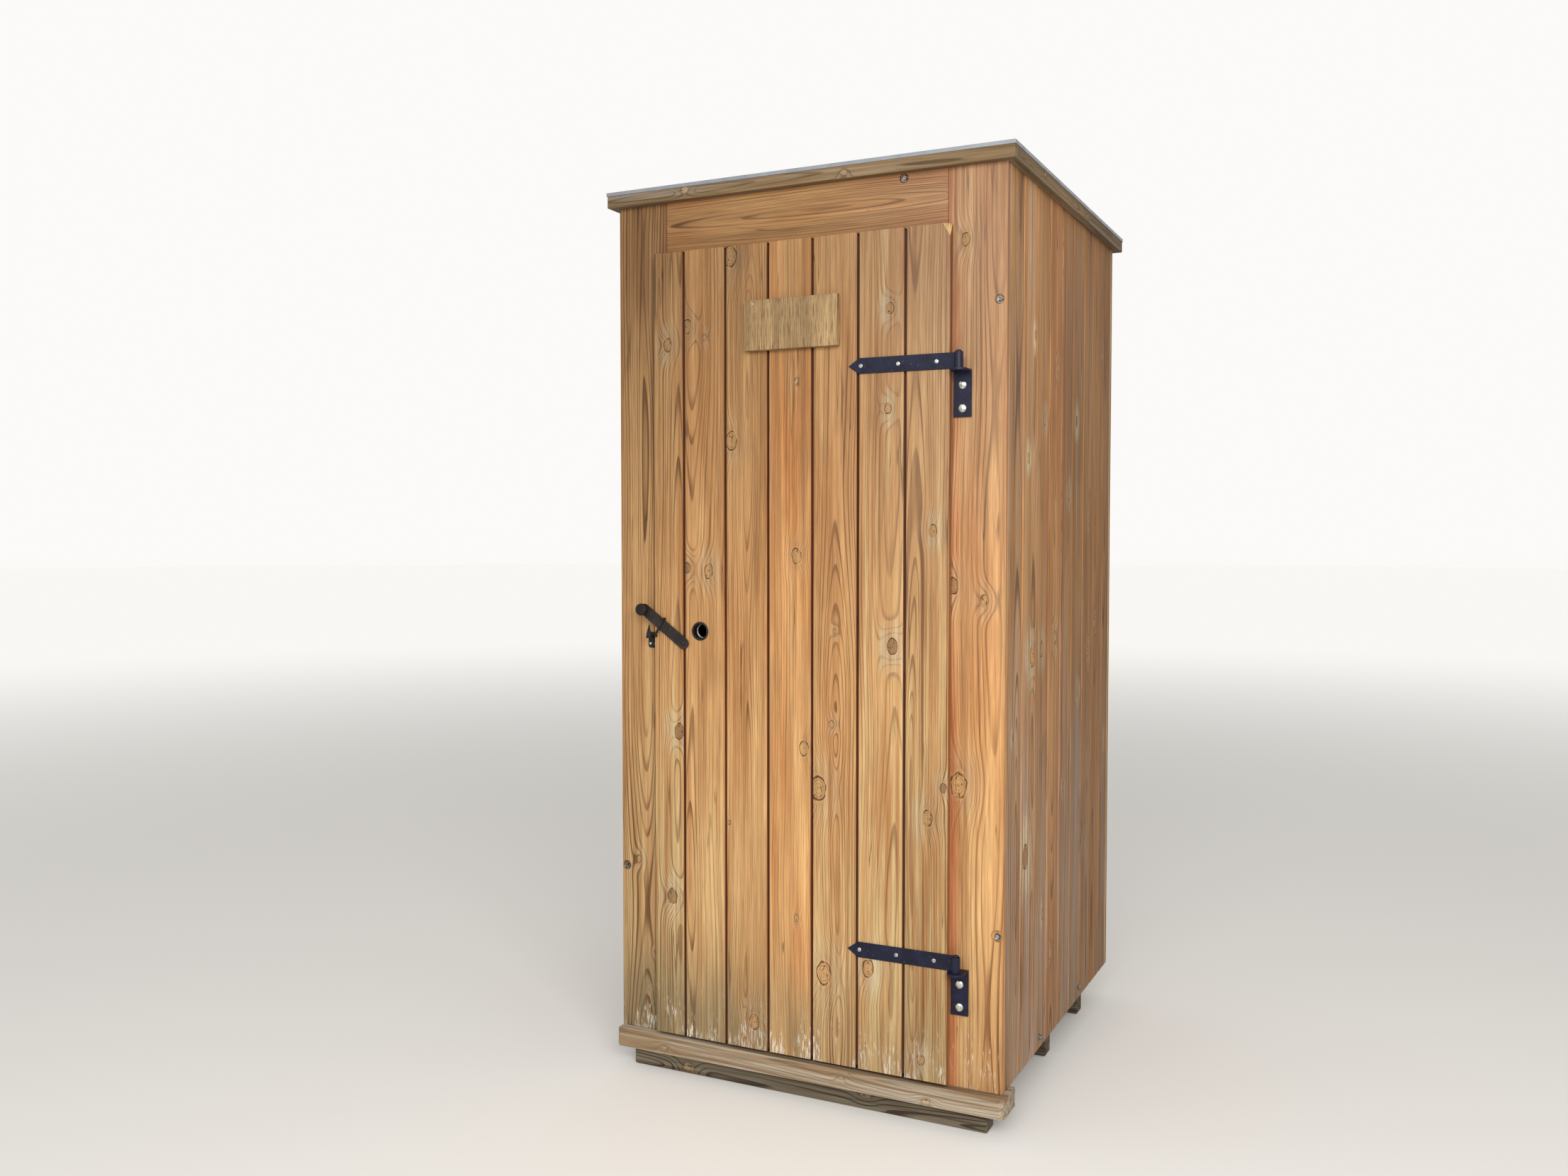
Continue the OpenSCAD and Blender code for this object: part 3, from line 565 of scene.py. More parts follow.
def cut_away(piece, cutter):
    """Cuts the cutter's shape out of a piece and removes the cutter."""
    cut = piece.modifiers.new("cut", "BOOLEAN")
    cut.object = cutter
    cut.solver = "EXACT"
    bpy.context.view_layer.objects.active = piece
    bpy.ops.object.modifier_apply(modifier=cut.name)
    bpy.data.objects.remove(cutter)


def hollow(board, spots):
    """Cuts a shallow cone into a board's face for each screw."""
    for x, z, r in spots:
        bpy.ops.mesh.primitive_cone_add(vertices=40, radius1=r * 0.8, radius2=r * 1.245, depth=hollow_cone,
                                        location=(x, washer_seat - hollow_cone / 2, z),
                                        rotation=(math.pi / 2, 0, 0))
        cut_away(board, bpy.context.object)


corner_left = sawn("corner_board_left_stained", left_low, left_high, board_edge, rings=30)
corner_right = sawn("corner_board_right_stained", right_low, right_high, board_edge, rings=30)
hollow(corner_left, hollows_left)
hollow(corner_right, hollows_right)
lay_grain(corner_left, (left_low.x + corner_half, left_low.y, 0), (0, 0, 1), (0, 1, 0), (0.004, 0.04), 1.7,
          half=corner_half, orange=0.1, grey=0.6, line=0.85, tone=0.84, free=2,
          knots=((-0.019, 0.526, 0.007), (0.024, 0.292, 0.0035)))
lay_grain(corner_right, (right_low.x + corner_half, right_low.y, 0), (0, 0, 1), (0, 1, 0), (0.045, 0.050),
          6.3, half=corner_half, orange=0.55, grey=0.35, line=0.62, tone=1.02, free=3,
          knots=((-0.038, 0.783, 0.019), (-0.053, 1.232, -0.0125), (0.020, 1.199, 0.0095),
                 (-0.027, 1.997, 0.010)))
header = sawn("header_board_stained", head_low, head_high, board_edge, rings=20)
hollow(header, hollows_header)
lay_grain(header, (0, head_low.y, head_low.z + header_half), (1, 0, 0), (0, 1, 0), (0.0, 0.022), 4.2,
          half=header_half, orange=0.95, grey=0.15, line=0.7, tone=1.01, knots=((0.005, 0.17, 0.0016),))
for board, node, place in ((corner_left, "corner_board_left", "front_board"),
                           (corner_right, "corner_board_right", "front_board"),
                           (header, "header_board", "header_board")):
    board.data.materials.append(stained_pine)
    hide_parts(node)
    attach(board, "house")

# Walls of matched boards
# Upright pine boards, each with a tongue along one edge that runs in the next one's groove, nailed to the
# rails. The stain on them is older and browner than on the front.


def matched(name, width, length, thick, tongue=0.010, groove=True, shoulder=0.006, eased=0.0014, rings=16,
            vee=0.0):
    """One matched board, standing on the origin with its face towards -Y and its tongue towards +X."""
    groove_slack, groove_depth = 0.0004, 0.0065
    piece = blank(name, (-width / 2, 0, 0), (width / 2, thick, length))
    bpy.ops.object.mode_set(mode="EDIT")
    pick("EDGE", lambda e: runs(e, 2))
    bpy.ops.mesh.subdivide(number_cuts=rings)
    if tongue:
        pick("FACE", lambda f: f.normal.x > 0.9)
        bpy.ops.mesh.inset(thickness=shoulder, depth=0)
        bpy.ops.mesh.extrude_region_move(TRANSFORM_OT_translate={"value": (tongue, 0, 0)})
    if groove:
        pick("FACE", lambda f: f.normal.x < -0.9)
        bpy.ops.mesh.inset(thickness=shoulder - groove_slack, depth=0)
        bpy.ops.mesh.extrude_region_move(TRANSFORM_OT_translate={"value": (groove_depth, 0, 0)})
    if vee:
        pick("EDGE", lambda e: runs(e, 2) and all(v.co.y < 0.00001 for v in e.verts))
        bpy.ops.mesh.bevel(offset=vee, segments=1)
    bpy.ops.object.mode_set(mode="OBJECT")
    return ease(piece, eased)


def copy_of(piece, name):
    """A copy of a piece with its own mesh."""
    made = bpy.data.objects.new(name, piece.data.copy())
    made.data.name = name
    bpy.context.scene.collection.objects.link(made)
    return made


def stand(piece, place, turn=0.0, mirrored=False):
    """Puts a finished piece in its place, turned about the upright axis, and applies it to the mesh."""
    move = Matrix.Translation(place) @ Matrix.Rotation(turn, 4, "Z")
    if mirrored:
        move = move @ Matrix.Scale(-1, 4, (1, 0, 0))
    piece.data.transform(move)
    if mirrored:
        piece.data.flip_normals()
    piece.data.update()


# Pine with the same stain, two summers older: duller and browner, with grey streaks. Its joint flanks are
# stained orange and painted lighter than its face, as a highlight.
wall_pine = wood("stained_pine_wall_boards", "#BC8C56", "#986A3C", "#573820", "#A8652F", "#9C8A7C",
                 damp=0.9, raw_inside=True, flank_colour="#E09A60", dark_from=0.0060, checks=0.5, bleach=0.75,
                 rough=0.68)
wall_low, wall_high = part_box("wall_right")
wall_len = wall_high.z - wall_low.z
wall_side, wall_back, wall_width = 0.5, 0.52, 1.0
wall_t = 0.020
wall_cover, wall_joint = 0.115, 0.004
wall_vee = 0.0034
wall_boards = 9
last_width = wall_width - (wall_boards - 1) * wall_cover - wall_joint / 2
first_board = matched("wall_first_board", wall_cover - wall_joint / 2, wall_len, wall_t, groove=False,
                      vee=wall_vee)
full_board = matched("wall_full_board", wall_cover - wall_joint, wall_len, wall_t, vee=wall_vee)
last_board = matched("wall_last_board", last_width, wall_len, wall_t, tongue=0, vee=wall_vee)
chance = random.Random(5)

# How the right wall's boards have aged, from the front corner: tone, orange, grey and knots. The tone also
# holds painted shade, darker towards the back.
right_plan = (
    (1.00, 0.0, 1.0, ((-0.0115, 0.888, -0.006),)),
    (1.20, 0.1, 1.1, ((0.0345, 1.811, 0.007), (-0.0155, 1.523, 0.008), (-0.0215, 0.595, -0.020),
                      (0.025, 1.060, 0.016))),
    (0.96, 0.5, 0.7, ((0.0095, 1.621, 0.009), (-0.006, 1.070, 0.012), (0.020, 0.420, 0.008))),
    (1.06, 0.7, 0.3, ((0.006, 1.090, 0.011), (-0.020, 0.300, 0.009), (0.015, 1.760, 0.008))),
    (0.90, 0.4, 0.7, ((-0.020, 0.700, 0.007), (0.018, 1.450, 0.009))),
    (0.82, 0.0, 0.9, ((0.012, 0.930, 0.008), (-0.022, 1.640, -0.010))),
    (0.88, 0.3, 0.4, ((0.010, 1.030, 0.009), (0.000, 1.380, 0.007), (-0.018, 0.510, 0.008))),
    (0.86, 0.6, 0.2, ((-0.030, 1.100, 0.009), (0.0355, 1.843, 0.010))),
    (0.74, 0.3, 0.5, ((0.005, 0.760, 0.008),)))


def aged_by_chance(number, painted_shade_step):
    """Tone, orange, grey and knots of a board on a wall that doesn't show, each board a little darker by
    painted shade, as on the right wall.
    """
    return (1.14 - painted_shade_step * number + chance.uniform(-0.05, 0.05), chance.uniform(0.0, 0.55),
            chance.uniform(0.25, 0.75),
            [(chance.uniform(-0.04, 0.04), chance.uniform(0.2 + 0.5 * k, 0.7 + 0.5 * k),
              chance.uniform(0.005, 0.014)) for k in range(4)])


def clad(wall, node, place_at, turn, inward, mirrored=False, painted_shade_step=0.0, plan=()):
    """Boards one wall from its first corner, and ages each board by its plan, or by chance."""
    for i in range(wall_boards):
        last = i == wall_boards - 1
        start = i * wall_cover + (wall_joint / 2 if i else 0)
        end = wall_width if last else (i + 1) * wall_cover - wall_joint / 2
        board = copy_of(first_board if i == 0 else last_board if last else full_board,
                        "%s_board_%d" % (wall, i + 1))
        centre = place_at((start + end) / 2)
        stand(board, centre, turn, mirrored)
        board.data.materials.append(wall_pine)
        tone, orange, grey, knots = plan[i] if plan else aged_by_chance(i, painted_shade_step)
        lay_grain(board, (centre[0], centre[1], 0), (0, 0, 1), inward,
                  (chance.uniform(-0.06, 0.06), chance.uniform(0.015, 0.06)), chance.uniform(0, 50),
                  half=(end - start) / 2, orange=orange, grey=grey, line=chance.uniform(0.45, 0.7), tone=tone,
                  knots=knots)
        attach(board, "house")
        if i == 0:
            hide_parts(node)


clad("right_wall", "wall_right", lambda s: (wall_side, s - wall_side, wall_low.z), math.pi / 2, (-1, 0, 0),
     plan=right_plan)
clad("left_wall", "wall_left", lambda s: (-wall_side, s - wall_side, wall_low.z), -math.pi / 2, (1, 0, 0),
     mirrored=True, painted_shade_step=0.036)
clad("back_wall", "wall_back", lambda s: (wall_side - s, wall_back, wall_low.z), math.pi, (0, -1, 0),
     painted_shade_step=0.01)
for model in (first_board, full_board, last_board):
    bpy.data.objects.remove(model)

# Roof boards and fascia
# Sawn boards lie across the top plates. A narrow board is nailed round them as a fascia, which was stained
# once and has gone grey-olive.

# Sawn spruce, rough and bare on its underside.
sawn_spruce = wood("sawn_spruce_roof_boards", "#B79767", "#A07F54", "#7A5836", "#A07040", "#8C8068",
                   rough=0.75)
deck_low, deck_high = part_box("roof_deck")
deck_pitch, deck_board, deck_edge = 0.1156, 0.1150, 0.0015
for i in range(9):
    near = deck_low.y + i * deck_pitch
    far = min(near + deck_board, deck_high.y)
    board = sawn("roof_board_%d" % (i + 1), (deck_low.x, near, deck_low.z), (deck_high.x, far, deck_high.z),
                 deck_edge)
    board.data.materials.append(sawn_spruce)
    lay_grain(board, (0, (near + far) / 2, deck_low.z), (1, 0, 0), (0, 0, 1), grey=0.3,
              **left_to_chance(chance, 0.45, 0.014))
    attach(board, "house")
    if i == 0:
        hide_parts("roof_deck")

# Pine with the last of its stain under grey weather, ridged by the rain.
fascia_pine = wood("weathered_pine_fascia", "#877050", "#6F5A40", "#463624", "#96703F", "#84807A",
                   ring=0.0052, rough=0.78, relief=0.001, knot_grey=0.45)
fascia_edge = 0.002
for node, along, face in (("fascia_front", (1, 0, 0), (0, 1, 0)), ("fascia_back", (1, 0, 0), (0, -1, 0)),
                          ("fascia_left", (0, 1, 0), (1, 0, 0)), ("fascia_right", (0, 1, 0), (-1, 0, 0))):
    low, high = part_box(node)
    strip = sawn(node + "_board", low, high, fascia_edge, rings=16)
    strip.data.materials.append(fascia_pine)
    lay_grain(strip, (low + high) / 2, along, face, (0.004, 0.03), chance.uniform(0, 50), half=0.03, grey=0.8,
              line=0.7, orange=0.3, knots=((0.004, 0.12, 0.006), (-0.005, -0.3, 0.007)))
    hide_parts(node)
    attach(strip, "house")

# Roof cover
# A thin galvanised steel sheet laid over the boards, with its edge turned down over the fascia. Its zinc has
# dulled to a pale blue-grey bloom.


def eased_copy(name, node, width, steps=2):
    """A copy of a CAD solid with its sharp edges rounded, for parts whose plain shape is already right."""
    piece = bpy.data.objects.new(name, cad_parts[node].data.copy())
    piece.data.name = name
    piece.data.materials.clear()
    bpy.context.scene.collection.objects.link(piece)
    only(piece)
    bpy.ops.object.mode_set(mode="EDIT")
    bpy.ops.mesh.select_all(action="SELECT")
    bpy.ops.mesh.remove_doubles(threshold=0.00001)
    bpy.ops.mesh.dissolve_limited(angle_limit=math.radians(2))
    bpy.ops.mesh.quads_convert_to_tris(quad_method="BEAUTY", ngon_method="BEAUTY")
    bpy.ops.object.mode_set(mode="OBJECT")
    return ease(piece, width, steps)


# Galvanised steel: zinc with faint crystal spangles of 14 mm and a dull bloom in the rain's tracks.
zinc_sheet, tree = new_material("galvanised_steel_roof")
spot = add(tree, "TexCoord").outputs["Object"]
spangle = add(tree, "TexVoronoi", {"Vector": spot, "Scale": 1000 / 14.286})
bloom = add(tree, "TexNoise", {"Vector": spot, "Scale": 1000 / 45.45, "Detail": 5.0})
colour = add(tree, "ValToRGB", [bloom], stops=((0.3, paint("#868A90")), (0.75, paint("#989BA1"))))
rough = add(tree, "MapRange", (spangle.outputs["Color"], 0.0, 1.0, 0.42, 0.6))
bump = add(tree, "Bump", {"Height": bloom, "Distance": 0.0006, "Strength": 0.4})
finish_material(tree, {"Base Color": colour, "Metallic": 0.55, "Roughness": rough, "Normal": bump})
sheet_edge = 0.0009
cover = eased_copy("roof_sheet", "roof_cover", sheet_edge)
cover.data.materials.append(zinc_sheet)
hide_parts("roof_cover")
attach(cover, "house")

# Plate pintles and their bolts
# Pressed steel plates with an upright pin, powder-coated black. Each is held by two zinc carriage bolts with
# domed heads, with nuts inside the post.


def turned(name, outline, place=(0, 0, 0), steps=40):
    """A turned part: its outline of (radius, distance out) is spun about an axis that points to the front."""
    bpy.ops.object.select_all(action="DESELECT")
    bpy.ops.mesh.primitive_plane_add(size=0.001)
    piece = bpy.context.object
    piece.name = piece.data.name = name
    bpy.ops.object.mode_set(mode="EDIT")
    bpy.ops.mesh.select_mode(type="VERT")
    bpy.ops.mesh.select_all(action="SELECT")
    bpy.ops.mesh.merge(type="CENTER")
    bpy.ops.transform.translate(value=(outline[0][0], -outline[0][1], 0))
    for (r0, out0), (r1, out1) in zip(outline, outline[1:]):
        bpy.ops.mesh.extrude_vertices_move(TRANSFORM_OT_translate={"value": (r1 - r0, out0 - out1, 0)})
    bpy.ops.mesh.select_all(action="SELECT")
    bpy.ops.mesh.spin(steps=steps, angle=2 * math.pi, center=(0, 0, 0), axis=(0, 1, 0))
    bpy.ops.mesh.select_all(action="SELECT")
    bpy.ops.mesh.remove_doubles(threshold=0.00001)
    bpy.ops.mesh.normals_make_consistent(inside=False)
    bpy.ops.object.mode_set(mode="OBJECT")
    piece.location = place
    bpy.ops.object.transform_apply(location=True)
    bpy.ops.object.shade_smooth_by_angle(angle=math.radians(40))
    return piece


def six_sided(name, radius, height, facing, rim, push, eased):
    """A six-sided head or nut on an axis to the front. Inside a rim, the face on its +Y or -Y side, as facing
    says, is pushed along Y."""
    bpy.ops.object.select_all(action="DESELECT")
    bpy.ops.mesh.primitive_cylinder_add(vertices=6, radius=radius, depth=height, rotation=(math.pi / 2, 0, 0))
    piece = bpy.context.object
    piece.name = name
    bpy.ops.object.transform_apply(rotation=True)
    bpy.ops.object.mode_set(mode="EDIT")
    pick("FACE", lambda f: f.normal.y * facing > 0.9)
    bpy.ops.mesh.inset(thickness=rim)
    bpy.ops.mesh.extrude_region_move(TRANSFORM_OT_translate={"value": (0, push, 0)})
    bpy.ops.object.mode_set(mode="OBJECT")
    return ease(piece, eased)


def coated_steel(name, base, edge, rough):
    """Coated steel: a fine orange peel of 2.4 mm, dust in the hollows and small rubbed chips of 4 mm."""
    made, t = new_material(name)
    at = add(t, "TexCoord").outputs["Object"]
    peel = add(t, "TexNoise", {"Vector": at, "Scale": 1000 / 2.381, "Detail": 2.0})
    dust = add(t, "TexNoise", {"Vector": at, "Scale": 1000 / 26.32, "Detail": 5.0, "Roughness": 0.6})
    chips = add(t, "TexNoise", {"Vector": at, "Scale": 1000 / 3.846, "Detail": 2.0})
    worn = add(t, "Math MULTIPLY", (add(t, "MapRange", (chips, 0.7, 0.74)), 0.6))
    colour = add(t, "ValToRGB", [dust], stops=((0.38, paint(base)), (0.72, paint(edge))))
    colour = add(t, "Mix", (worn, colour, paint("#6A6A70")), data_type="RGBA")
    gloss = add(t, "MapRange", (dust, 0.3, 0.7, rough - 0.06, rough + 0.12))
    bump = add(t, "Bump", {"Height": peel, "Distance": 0.0002, "Strength": 0.5})
    finish_material(t, {"Base Color": colour, "Roughness": gloss, "Specular IOR Level": 0.3, "Normal": bump})
    return made


def bare_metal(name, speck, dark, pale, metallic, rough):
    """Plated or rubbed metal, with dirt in specks of a real size in millimetres. dark and pale are the stops
    of the dirt's ramp, and rough is the roughness from clean to dirty."""
    made, t = new_material(name)
    dirt = add(t, "TexNoise", {"Vector": add(t, "TexCoord").outputs["Object"], "Scale": 1000 / speck,
                               "Detail": 3.0})
    colour = add(t, "ValToRGB", [dirt], stops=(dark, pale))
    gloss = add(t, "MapRange", (dirt, 0.0, 1.0, *rough))
    finish_material(t, {"Base Color": colour, "Metallic": metallic, "Roughness": gloss})
    return made


# Black powder coat with a blue cast, and bright zinc plating with a faint yellow pass.
hinge_black = coated_steel("black_powder_coat_hinges", "#0B0D22", "#171A37", 0.46)
zinc_bolt = bare_metal("bright_zinc_plating", 6.25, (0.35, paint("#9FA29C")), (0.6, paint("#D5D6CF")), 1.0,
                       (0.22, 0.45))

bolt_r, bolt_dome, bolt_rim = 0.010, 0.0052, 0.0008
dome_turns = [i * math.pi / 16 for i in range(8)]
bolt_outline = [(bolt_r - 0.0006, 0.0)]
bolt_outline += [(bolt_r * math.cos(a), bolt_rim + (bolt_dome - bolt_rim) * math.sin(a)) for a in dome_turns]
bolt_outline += [(0.0, bolt_dome)]
bolt_model = turned("carriage_bolt_head", bolt_outline)
bolt_model.data.materials.append(zinc_bolt)
nut_model = six_sided("hex_nut", radius=0.0075, height=0.0065, facing=1, rim=0.0028, push=0.005, eased=0.0005)
nut_model.data.materials.append(zinc_bolt)

pin_x, plate_face, nut_at = 0.400, -0.525, -0.452
plate_height, bolt_drops = 0.105, (0.034, 0.086)
pintle_edge = 0.0007
for node, name in (("pintle_lower", "lower"), ("pintle_upper", "upper")):
    plate = eased_copy(name + "_pintle", node, pintle_edge)
    plate.data.materials.append(hinge_black)
    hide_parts(node)
    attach(plate, "house")
    plate_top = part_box(node)[0].z + plate_height
    for i, drop in enumerate(bolt_drops):
        for model, word, depth in ((bolt_model, "bolt", plate_face), (nut_model, "nut", nut_at)):
            part = copy_of(model, "%s_pintle_%s_%d" % (name, word, i + 1))
            stand(part, (pin_x, depth, plate_top - drop))
            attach(part, "house")
bpy.data.objects.remove(bolt_model)
bpy.data.objects.remove(nut_model)

# Frame screws
# Zinc hex-head screws hold the corner boards and the header to the posts, and the walls to the bearers. Each
# head sits on a washer and has pulled a little into the wood.

# Zinc that the weather has dulled to grey, with dirt in the corners.
dull_zinc = bare_metal("weathered_zinc_screws", 4.762, (0.4, paint("#4E4A44")), (0.62, paint("#B4B2AC")),
                       0.85, (0.6, 0.35))
hex_model = six_sided("hex_screw_head", radius=0.0062, height=0.006, facing=-1, rim=0.0016, push=0.0022,
                      eased=0.0006)
hex_model.data.materials.append(dull_zinc)
washer_model = turned("screw_washer", [(0.0, 0.0), (0.0078, 0.0), (0.0082, 0.0006), (0.0078, 0.0014),
                                       (0.0, 0.0014)])
washer_model.data.materials.append(dull_zinc)
head_out = 0.0044
foot_near, foot_far, foot_up = -0.217, 0.182, 0.124
to_right, to_left = math.pi / 2, -math.pi / 2
frame_screws = (
    (0.482, washer_seat, 1.861, 0), (0.486, washer_seat, 0.450, 0), (-0.487, washer_seat, 0.506, 0),
    (0.258, washer_seat, 2.148, 0),
    (wall_side, foot_near, foot_up, to_right), (wall_side, foot_far, foot_up, to_right),
    (-wall_side, foot_near, foot_up, to_left), (-wall_side, foot_far, foot_up, to_left))
for i, (x, y, z, turn) in enumerate(frame_screws):
    for model, word, out in ((hex_model, "head", head_out), (washer_model, "washer", 0.0)):
        part = copy_of(model, "frame_screw_%s_%d" % (word, i + 1))
        stand(part, Vector((x, y, z)) + Matrix.Rotation(turn, 3, "Z") @ Vector((0, -out, 0)), turn)
        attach(part, "house")
bpy.data.objects.remove(hex_model)
bpy.data.objects.remove(washer_model)

# Catch
# A pointed hook on a small cast plate, screwed to the left corner board and painted black. The bar slides up
# its sloped front and drops in behind it.

# Cast iron with black paint: coarser and duller than the hinges.
latch_black = coated_steel("black_paint_latch", "#110E0D", "#221D1B", 0.5)
catch_edge, catch_plate_t = 0.0011, 0.004
catch = eased_copy("latch_hook", "latch_catch", catch_edge, 3)
catch.data.materials.append(latch_black)
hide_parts("latch_catch")
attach(catch, "house")
catch_low, catch_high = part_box("latch_catch")
catch_holes = ((0.006, 0.010), (0.022, 0.010))
for i, (across, up) in enumerate(catch_holes):
    catch_screw = turned("catch_screw_%d" % (i + 1),
                         [(0.0, 0.0), (0.0032, 0.0), (0.0030, 0.0007), (0.0016, 0.0014), (0.0, 0.0015)],
                         (catch_low.x + across, catch_high.y - catch_plate_t, catch_low.z + up), steps=20)
    catch_screw.data.materials.append(zinc_bolt)
    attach(catch_screw, "house")

# Door boards
# Seven matched pine boards, the outer two ripped narrower, screwed to ledges. The joints between them show as
# deep dark grooves. The top corner at the hinges has a fresh chip.

door_low, door_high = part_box("door_boards")
door_len = door_high.z - door_low.z
door_t = 0.020
door_joint = 0.0065
door_tongue, door_shoulder, door_edge = 0.011, 0.0068, 0.0018
finger_x, finger_z, finger_bore = -0.259, 1.111, 0.0199
chip_in, chip_down, chip_back = 0.017, 0.031, 0.016
# Each board's sides, how its rings were cut, how its stain has aged, and where and how big its knots are
door_plan = (
    dict(left=-0.388, right=-0.304, pith=(0.028, 0.034), seed=3.3,
         tone=0.88, orange=0.3, grey=0.8, line=0.8,
         knots=((0.029, 0.863, -0.013), (0.008, 0.449, -0.013), (-0.002, 1.810, 0.011))),
    dict(left=-0.304, right=-0.189, pith=(-0.030, 0.035), seed=12.1,
         tone=1.0, orange=0.35, grey=0.5, line=0.55,
         knots=((-0.047, 1.850, 0.012), (0.001, 1.821, 0.006), (0.011, 1.258, 0.012),
                (-0.049, 1.265, -0.009))),
    dict(left=-0.189, right=-0.074, pith=(0.006, 0.026), seed=21.7,
         tone=0.94, orange=0.35, grey=0.35, line=0.6,
         knots=((-0.043, 2.009, 0.017), (-0.041, 1.570, 0.015), (0.020, 0.170, 0.013),
                (-0.048, 0.649, 0.004))),
    dict(left=-0.074, right=0.041, pith=(-0.075, 0.040), seed=30.2,
         tone=1.08, orange=0.75, grey=0.15, line=0.5,
         knots=((0.017, 1.704, 0.0065), (0.017, 1.296, 0.012), (0.037, 0.843, 0.012),
                (0.018, 0.437, 0.006))),
    dict(left=0.041, right=0.156, pith=(0.010, 0.030), seed=7.6,
         tone=0.99, orange=0.3, grey=0.5, line=0.75,
         knots=((-0.041, 0.752, 0.019), (-0.026, 0.316, 0.018), (-0.006, 0.905, 0.006),
                (0.001, 1.122, 0.0045))),
    dict(left=0.156, right=0.271, pith=(0.030, 0.060), seed=16.4,
         tone=0.96, orange=0.15, grey=1.1, line=0.5,
         knots=((0.016, 1.631, 0.0085), (0.029, 1.092, -0.0125), (-0.029, 0.344, 0.0135),
                (0.021, 1.856, 0.009))),
    dict(left=0.271, right=0.376, pith=(-0.035, 0.022), seed=25.9,
         tone=0.91, orange=0.15, grey=0.9, line=0.7,
         knots=((0.013, 1.354, 0.0095), (0.003, 0.706, 0.012), (-0.010, 0.151, 0.009),
                (0.040, 0.777, -0.008))),
)
finger_board, hinge_board = 1, len(door_plan) - 1
# Pine where a splinter broke away: bare, bright and fibrous.
fresh_pine = wood("fresh_split_pine", "#DDBB86", "#D0A870", "#B98A55", "#D8B27A", "#CDB48A", rough=0.7)
for i, plan in enumerate(door_plan):
    left = plan.pop("left") + (door_joint / 2 if i else 0)
    right = plan.pop("right") - (door_joint / 2 if i < hinge_board else 0)
    board = matched("door_board_%d" % (i + 1), right - left, door_len, door_t, groove=i > 0,
                    tongue=door_tongue if i < hinge_board else 0, shoulder=door_shoulder, eased=door_edge,
                    rings=28)
    stand(board, ((left + right) / 2, door_low.y, door_low.z))
    board.data.materials.append(stained_pine)
    if i == finger_board:
        bpy.ops.mesh.primitive_cylinder_add(vertices=64, radius=finger_bore, depth=0.08,
                                            location=(finger_x, door_low.y + door_t / 2, finger_z),
                                            rotation=(math.pi / 2, 0, 0))
        cut_away(board, bpy.context.object)
    if i == hinge_board:
        board.data.materials.append(fresh_pine)
        only(board)
        bpy.ops.object.mode_set(mode="EDIT")
        bpy.ops.mesh.select_all(action="SELECT")
        a = Vector((right - chip_in, door_low.y, door_high.z))
        b = Vector((right, door_low.y, door_high.z - chip_down))
        c = Vector((right, door_low.y + chip_back, door_high.z))
        bpy.ops.mesh.bisect(plane_co=a, plane_no=(b - a).cross(c - a).normalized(), use_fill=True,
                            clear_inner=False, clear_outer=True)
        board.active_material_index = 1
        bpy.ops.object.material_slot_assign()
        bpy.ops.object.mode_set(mode="OBJECT")
    lay_grain(board, ((left + right) / 2, door_low.y, 0), (0, 0, 1), (0, 1, 0), half=(right - left) / 2,
              free=-1 if i == 0 else 1 if i == hinge_board else 0, **plan)
    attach(board, "door")
    if i == 0:
        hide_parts("door_boards")

# Ledges and brace
# Two planed pine ledges and a slanting brace are screwed across the door's back. They are bare wood, with
# the edges taken off.

# Planed pine, bare and a little yellowed.
ledge_pine = wood("planed_pine_ledges", "#C4A371", "#AE8A5A", "#85623A", "#B98A50", "#A08D6C", rough=0.6)
ledge_edge = 0.003
brace_way = Vector((-0.600, 0, 1.252)).normalized()
for node, name, along in (("door_ledge_lower", "lower_ledge", (1, 0, 0)),
                          ("door_ledge_upper", "upper_ledge", (1, 0, 0)),
                          ("door_brace", "slanting_brace", brace_way)):
    low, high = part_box(node)
    bar = eased_copy(name, node, ledge_edge, 3)
    bar.data.materials.append(ledge_pine)
    lay_grain(bar, ((low.x + high.x) / 2, high.y, (low.z + high.z) / 2), along, (0, -1, 0),
              (0.02, 0.03), chance.uniform(0, 50), half=0.048, grey=0.15, line=0.6,
              knots=((0.015, 0.11, 0.009), (-0.02, -0.19, 0.012), (0.0, 0.34, 0.007)))
    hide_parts(node)
    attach(bar, "door")

# Strap hinges and screws
# Flat steel straps with a pointed tip and a rolled eye that drops over the pin, powder-coated black. Small
# countersunk zinc screws with a cross recess hold them to the door.

screw_r = 0.0045
screw_model = turned("countersunk_screw", [(0.0026, -0.0020), (screw_r, -0.0001), (screw_r - 0.0004, 0.0002),
                                           (0.0030, 0.00035), (0.0, 0.0004)], steps=32)
recess_at, recess_size = (0, -0.0004, 0), (0.0046, 0.0018, 0.0010)
for turn in (0, math.pi / 2):
    bpy.ops.mesh.primitive_cube_add(size=1, location=recess_at, rotation=(0, turn, 0), scale=recess_size)
    cut_away(screw_model, bpy.context.object)
screw_model.data.materials.append(zinc_bolt)
strap_t, strap_edge, strap_holes = 0.003, 0.0005, (0.030, 0.121, 0.212)
for node, name in (("strap_lower", "lower"), ("strap_upper", "upper")):
    strap = eased_copy(name + "_strap_hinge", node, strap_edge)
    strap.data.materials.append(hinge_black)
    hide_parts(node)
    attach(strap, "door")
    low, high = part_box(node)
    for i, along in enumerate(strap_holes):
        screw = copy_of(screw_model, "%s_strap_screw_%d" % (name, i + 1))
        stand(screw, (low.x + along, door_low.y - strap_t, (low.z + high.z) / 2))
        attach(screw, "door")

